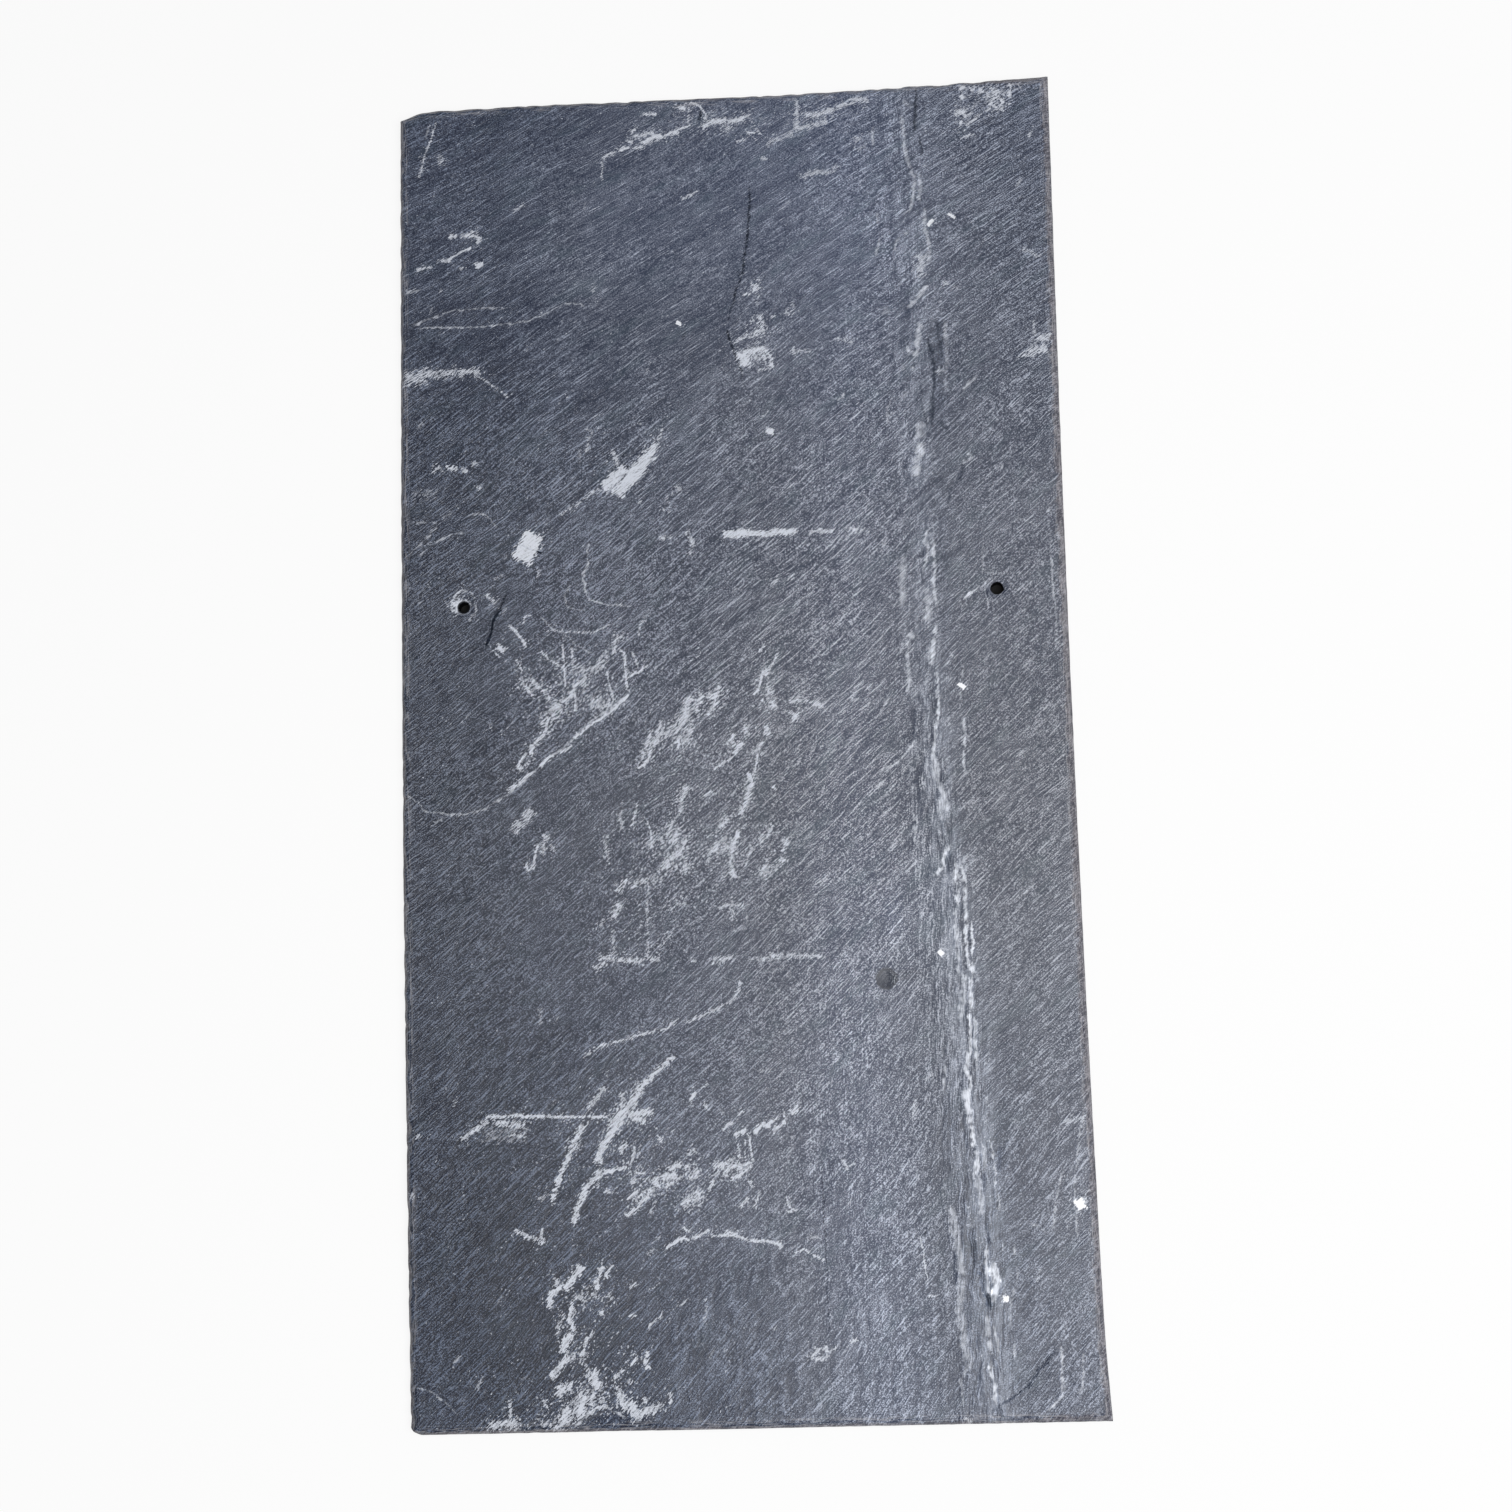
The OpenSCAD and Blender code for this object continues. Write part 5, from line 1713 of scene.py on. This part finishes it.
def stone_of(f):
    """What the parts of the finish share: places on the tile, and the streaks and specks of its stone.

    Places are in mm and most patterns run from about -0.5 to 0.5.
    """
    s = SimpleNamespace()
    s.along, s.across, upright = f.parts(f.attribute("grain"))
    s.inside, s.off_vein, s.rubbed = f.parts(f.attribute("place"))
    s.shade, s.vigour, s.glow = f.parts(f.attribute("tone_light_grain"))
    object_place = f.node("ShaderNodeTexCoord", None, None, "Object")
    s.in_mm = f.node("ShaderNodeVectorMath", {"operation": "SCALE"}, {0: object_place, "Scale": 1000.0})
    s.x, s.y, z = f.parts(s.in_mm)
    s.layers = z / 3.0
    s.on_face_side = z.ease(3.0, 3.6)
    s.bend = f.noise(s.in_mm, 0.12, 1.0, 0.5) - 0.5
    s.across_bent = s.across + s.bend * 0.7

    # Where the two directions meet their mix would look flat, so it is made stronger there
    evened = 1.0 / (upright * upright * 2.0 - upright * 2.0 + 1.0).power(0.5)

    def streaks(length, width, detail, roughness):
        """Streaks of the grain: slanted over most of the face and upright along the vein."""
        slanted = f.noise(f.vector(s.along / length, s.across_bent / width, s.layers), 1.0, detail, roughness)
        across_vein = (s.x - s.y * 0.06 + s.bend * 2.6) / (width * 1.25)
        standing = f.noise(f.vector(across_vein, s.y / (length * 0.9), s.layers), 1.0, detail, roughness)
        return (slanted + (standing - slanted) * upright - 0.5) * evened

    s.fine = streaks(4.6, 0.42, 1.0, 0.55)
    # Thin raised threads of the grain, which the colour also paints pale as their highlights
    s.thread = (streaks(10.0, 0.50, 0.0, 0.5) - 0.07).most(0.0)
    s.medium = streaks(20.0, 2.4, 1.0, 0.6)
    s.serration = streaks(2.4, 0.45, 1.0, 0.6)
    s.broad = f.noise(f.vector(s.along / 30.0, s.across / 10.0, s.layers), 1.0, 2.0, 0.5) - 0.5
    s.speck = f.noise(s.in_mm, 2.1, 1.0, 0.6) - 0.5
    s.clump = f.noise(s.in_mm, 0.42, 1.0, 0.5) - 0.5
    return s


def stroke_values(f, name):
    """Where a point lies by the nearest stroke of one layer: side, run, half length, half width, strength."""
    side, run, half = f.parts(f.attribute(name))
    half_width = f.attribute(name, "Alpha")
    strength = f.attribute(f"{name}_strength", "Fac")
    return side, run, half, half_width, strength


def scuffs_and_cracks(f, s):
    """How pale scuffs make each point and how dark cracks do, with sides that the grain makes ragged."""
    pale = []
    dark = []
    for number in range(MARK_LAYERS):
        side, run, half, width, strength = stroke_values(f, f"marks_{number}")
        loose = 1.0 - abs(strength).ease(0.6, 1.15) * 0.8
        ragged = s.serration * (width * 6.0 + 1.4) * loose
        to_side = width * 0.95 - abs(side) + ragged
        to_end = half + width * 0.5 - abs(run) + ragged
        within = (to_side.least(to_end) / (width * 0.35).most(0.12).least(0.26)).most(-3.0).least(1.0)
        torn = (s.serration * (width * 4.0 + 2.0) + s.speck * 2.8 + s.clump * 4.6) * loose
        caught = within + torn + abs(strength) * 1.8 - 1.5
        mask = caught.ease(-0.20, 0.35) * (width + 1.0).ease(0.0, 0.5)
        pale.append(mask * (strength * 1.15).most(0.0))
        dark.append(mask * (-strength).most(0.0))
    flecks = f.noise(f.vector(s.along / 1.3, s.across_bent / 0.55, s.layers), 1.0, 1.0, 0.5)
    flecked = (flecks + s.rubbed * 0.24 + s.medium * 0.3).ease(0.74, 0.82)
    return greatest(pale).most(flecked * 0.75), greatest(dark)


def ridges(f, s):
    """How pale and how dark the vein's ridges and the edges of broken sheets make each point: painted
    highlight on their tops and painted shade at their right flanks, and painted shade all along a ridge whose
    strength is below 0.
    """
    lit = []
    shaded = []
    for number in range(RIDGE_LAYERS):
        side, run, half, half_width, strength = stroke_values(f, f"ridges_{number}")
        width = half_width.most(0.01)
        shifted = side + s.serration * 1.9 + s.medium * 1.6 + s.clump * 1.2
        taper = (half + width * 0.8 - abs(run) + s.serration * 5.0).ease(-0.4, 1.6)
        spread = width * (1.0 + s.clump * 2.2)
        top = (abs(shifted) / spread).ease(1.6, 0.1) * taper
        flank = (abs(shifted - width * 1.5 - 0.15) / (width * 0.8 + 0.15)).ease(1.0, 0.1) * taper
        lit.append(top * strength.most(0.0))
        shaded.append((flank * strength * 0.70).most(top * -strength))
    return greatest(lit) * (0.92 + s.fine * 2.2 + s.clump * 2.4), greatest(shaded)


def upright_wisps(f, s):
    """Soft upright streaks close by the vein, and left of it low on the face. They are raised a little by the
    bump and are also painted into the colour as the light and shade of that relief.
    """
    across_vein = (s.x - s.y * 0.06 + s.bend * 7.0) / 3.0
    wisps = f.noise(f.vector(across_vein, s.y / 24.0, s.layers), 1.0, 2.0, 0.6) - 0.5
    left_of_crest = s.off_vein.ease(9.0, 1.0)
    near_vein = (s.off_vein + 18.0).ease(0.0, 9.0) * left_of_crest
    low_curtain = (s.off_vein + 140.0).ease(0.0, 30.0) * left_of_crest * s.y.ease(-90.0, -190.0) * 0.8
    return wisps * near_vein.most(low_curtain)


def bare_stone(f, s, wisps):
    """The colour of the split face, with its grain, its tinges and its broad light and dark, which is partly
    the stone's own tone and partly painted sheen and shade. The grain's pale threads are partly painted
    highlight, and the pale band along the vein is painted sheen.
    """
    grain_tone = (s.fine * 1.45 + s.thread * 2.4 + s.speck * 2.5) * s.vigour
    tone = 0.345 + grain_tone + s.medium * 0.22 + s.broad * 0.38 + s.clump * 0.2 + wisps * 0.9
    tone = tone.most(0.05).least(1.3)
    base = f.blend((tone * tone).least(1.0), VALLEY, CREST)
    hue = f.noise(f.vector(s.along / 20.0, s.across / 8.0, s.layers), 1.0, 2.0, 0.5)
    base = f.blend(hue.ease(0.52, 0.72) * 0.05, base, PURPLE_TINGE)
    base = f.blend(hue.ease(0.46, 0.30) * 0.16, base, GREEN_TINGE)
    # The painted sheen and shade, with the stone's own tone, scale the colour, and the darker places turn
    # bluer
    cool = (1.0 - s.shade).most(0.0)
    toward_ends = abs(s.y + 20.0) / 230.0 - 0.45
    redness = 0.97 - cool * 0.16 - toward_ends * 0.055
    blueness = 1.045 + cool * 0.30 + toward_ends * 0.10
    base = f.blend(1.0, base, f.vector(s.shade * redness, s.shade, s.shade * blueness), "MULTIPLY")
    # Painted sheen along the vein, broken up by the grain
    glowing = s.glow * (0.22 + s.medium * 1.2 + s.fine * 0.8)
    return f.blend(glowing.most(0.0), base, VEIN_SHEEN)


# A darker disc in the pit, with pale specks at its right
def darkened_pit(f, s, base):
    """The round pit beside the vein, dark with pale specks at its right."""
    pit_x, pit_y = PIT_PLACES[0][2]
    off_x, off_y = s.x - pit_x, s.y - pit_y
    from_pit = (off_x * off_x + off_y * off_y).power(0.5) + s.serration * 1.2 + s.speck * 0.8
    in_pit = from_pit.ease(PIT_DARK_RADIUS + PIT_DARK_EDGE, PIT_DARK_RADIUS - PIT_DARK_EDGE)
    base = f.blend(in_pit * (0.8 + from_pit.ease(2.4, 3.8) * 0.15), base, PIT_DARK)
    specks = (s.speck * 2.2 + s.fine + off_x * 0.12).ease(0.42, 0.62) * from_pit.ease(3.9, 3.3)
    return f.blend(specks * 0.8, base, PIT_SPECK)


def nail_holes(f, s):
    """The broken pale rings round the nail holes, the left one torn wider and brighter at its lower left,
    partly painted highlight where the crater wall faces the light, and the painted shade inside the holes.
    """
    rings = []
    bores = []
    for hole, reach, amount in zip(HOLES, RING_REACH, RING_AMOUNT):
        off_x, off_y = s.x - hole.x / MM, s.y - hole.y / MM
        from_axis = (off_x * off_x + off_y * off_y).power(0.5)
        apart = from_axis + s.clump * 2.2 + s.serration * 1.0
        lower_left_lit = off_x * -0.92 - off_y * 0.38 + s.clump * 3.0
        torn = 0.45 + s.fine * 3.0 + lower_left_lit.ease(0.9, 3.0) * 0.6
        broken = apart.ease(reach + 0.3, reach - 0.6) * torn
        rings.append(broken.least(1.6) * amount)
        bores.append(from_axis.ease(*BORE_EDGE))
    return greatest(rings), greatest(bores)


def dressed_rim(f, s, base):
    """The chipped rim, wider and browner at the right, with fine broken lines beside it."""
    rim_width = RIM_WIDTH + s.x.ease(*RIM_GROWS) * RIM_ADDED
    rim = (s.inside / rim_width + s.medium * 1.4 + s.serration * 0.8).ease(1.25, 0.75)
    rim_tone = within_one(0.45 + s.fine * 3.2 + s.medium * 1.5 + s.clump * 2.0 + s.speck * 2.0)
    base = f.blend(rim * 0.55, base, f.blend(rim_tone, RIM_HOLLOW, RIM_CREST))
    hair = f.noise(f.vector(s.inside / 0.9, (s.x + s.y) / 16.0, s.layers), 1.0, 1.0, 0.5) - 0.5
    hair = (1.0 - abs(hair) * 18.0).most(0.0) * s.inside.ease(4.6, 2.6) * s.on_face_side
    return rim, f.blend(hair * 0.4, base, RIM_HAIR)


def slate_finish():
    """The slate's material, from the bare stone up to what marks it."""
    f = Finish("riven_slate")
    s = stone_of(f)
    pale, dark = scuffs_and_cracks(f, s)
    lit, shaded = ridges(f, s)
    wisps = upright_wisps(f, s)

    base = bare_stone(f, s, wisps)
    # Painted shade on the ridges' flanks, then painted highlight on their tops
    base = f.blend((shaded * 0.85).least(1.0), base, RIDGE_SHADE)
    base = f.blend(within_one(lit * 0.9), base, RIDGE_HIGHLIGHT)
    base = f.blend(dark * 0.92, base, CRACK)
    base = f.blend(within_one(pale * (0.86 + s.fine * 1.8 + s.speck * 1.4)), base, SCUFF)
    base = f.blend(within_one(pale * 3.0 - 3.7), base, CRYSTAL)
    base = darkened_pit(f, s, base)
    ring, bore_shade = nail_holes(f, s)
    base = f.blend(within_one(ring * s.on_face_side), base, PUNCHED_RING)
    # Painted shade inside the nail holes
    base = f.blend(bore_shade * 0.9, base, BORE_SHADE)
    rim, base = dressed_rim(f, s, base)
    f.feed(f.shader.inputs["Base Color"], base)

    # Deep cracks, the painted shade inside the nail holes and the painted shade on the ridges' flanks send no
    # light back, so their shine is taken away
    deep = dark.most(shaded * 0.85).most(bore_shade) * 0.95
    f.feed(f.shader.inputs["Metallic"], deep.least(1.0))

    rough = 0.39 + s.fine * 0.14 + s.broad * 0.10 + pale * 0.25 + rim * 0.2
    f.feed(f.shader.inputs["Roughness"], rough.least(0.9).most(0.3))
    f.feed(f.shader.inputs["IOR"], SLATE_IOR)

    grain_height = (s.fine * 0.16 + s.thread * 0.22 + s.speck * 0.06) * s.vigour
    relief = grain_height + s.medium * 0.08 + wisps * 0.20
    bump = f.node("ShaderNodeBump", None, {"Height": relief, "Distance": MM, "Strength": 1.0})
    f.feed(f.shader.inputs["Normal"], bump)
    return f.material


# The floor: its colours, and how rough and how shiny it is
WHITE = (1, 1, 1, 1)
FLOOR_GREY = (0.86, 0.86, 0.86, 1)
# Painted shadow on the floor under the tile
UNDER_TILE_SHADOW = (0.02, 0.02, 0.02, 1)
FLOOR_ROUGHNESS = 0.9
FLOOR_SHINE = 0.1
# How much of the floor that the camera sees is plain white. The rest keeps the tile's shadow.
FLOOR_WHITENED = 0.85


def floor_finish():
    """Pale floor that the camera sees as white, with the tile's shadow kept and a painted shadow under the
    tile.
    """
    f = Finish("pale_floor")
    x, y, _ = f.parts(f.node("ShaderNodeTexCoord", None, None, "Object"))
    past_side = (abs(x) - (WIDTH / 2 - UNDER_TILE)).most(abs(y) - (LENGTH / 2 - UNDER_TILE))
    open_floor = past_side.ease(-MM, MM)
    f.feed(f.shader.inputs["Base Color"], f.blend(open_floor, UNDER_TILE_SHADOW, FLOOR_GREY))
    f.feed(f.shader.inputs["Roughness"], FLOOR_ROUGHNESS)
    f.feed(f.shader.inputs["Specular IOR Level"], FLOOR_SHINE)
    seen = f.node("ShaderNodeLightPath", None, None, "Is Camera Ray")
    whitened = seen * open_floor * FLOOR_WHITENED
    white = f.node("ShaderNodeEmission", None, {"Color": WHITE, "Strength": 1.0})
    mixed = f.node("ShaderNodeMixShader", None, {0: whitened, 1: Value(f, f.shader.outputs[0]), 2: white})
    f.feed(f.nodes["Material Output"].inputs["Surface"], mixed)
    return f.material


# Stage

# Places and sizes in metres, and the power in watts of the window that lights the tile
FLOOR_REACH = 6
FLOOR_DROP = 0.1 * MM
WINDOW_PLACE = (0.43, -0.30, 1.35)
WINDOW_AIM = (0.02, -0.02, 0)
WINDOW_SIZE = 1.0
WINDOW_WATTS = 17.5
# How brightly the room lights the tile, where 1 is the white that the camera sees
ROOM_LIGHT = 0.30


def lay_floor():
    bm = bmesh.new()
    bmesh.ops.create_grid(bm, x_segments=1, y_segments=1, size=FLOOR_REACH)
    bmesh.ops.translate(bm, verts=bm.verts, vec=(0, 0, -FLOOR_DROP))
    floor = set_in_scene("floor", mesh_of(bm, "floor"))
    floor.data.materials.append(floor_finish())


def soft_lamp(name, place, aim, size, watts):
    data = bpy.data.lights.new(name, "AREA")
    data.shape = "SQUARE"
    data.size = size
    data.energy = watts
    lamp = set_in_scene(name, data)
    lamp.location = place
    lamp.rotation_euler = (Vector(place) - Vector(aim)).to_track_quat("Z", "Y").to_euler()


def light_room():
    soft_lamp("window", WINDOW_PLACE, WINDOW_AIM, WINDOW_SIZE, WINDOW_WATTS)
    world = bpy.data.worlds.new("room")
    room = NodeTree(world)
    backdrop = room.nodes["Background"]
    seen = room.node("ShaderNodeLightPath", None, None, "Is Camera Ray")
    room.feed(backdrop.inputs["Color"], WHITE)
    room.feed(backdrop.inputs["Strength"], seen * (1.0 - ROOM_LIGHT) + ROOM_LIGHT)
    bpy.context.scene.world = world


# The finished tile

def make_tile():
    tile = set_in_scene("riven_tile", slate_mesh())
    punched(tile)
    tile.data.materials.clear()
    tile.data.materials.append(slate_finish())
    for polygon in tile.data.polygons:
        polygon.use_smooth = True
    write_marks(tile.data)
    return tile


tile = make_tile()
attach(tile, "root")
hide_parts("roof_slate")
lay_floor()
light_room()

view = bpy.context.scene.view_settings
view.view_transform = "Standard"
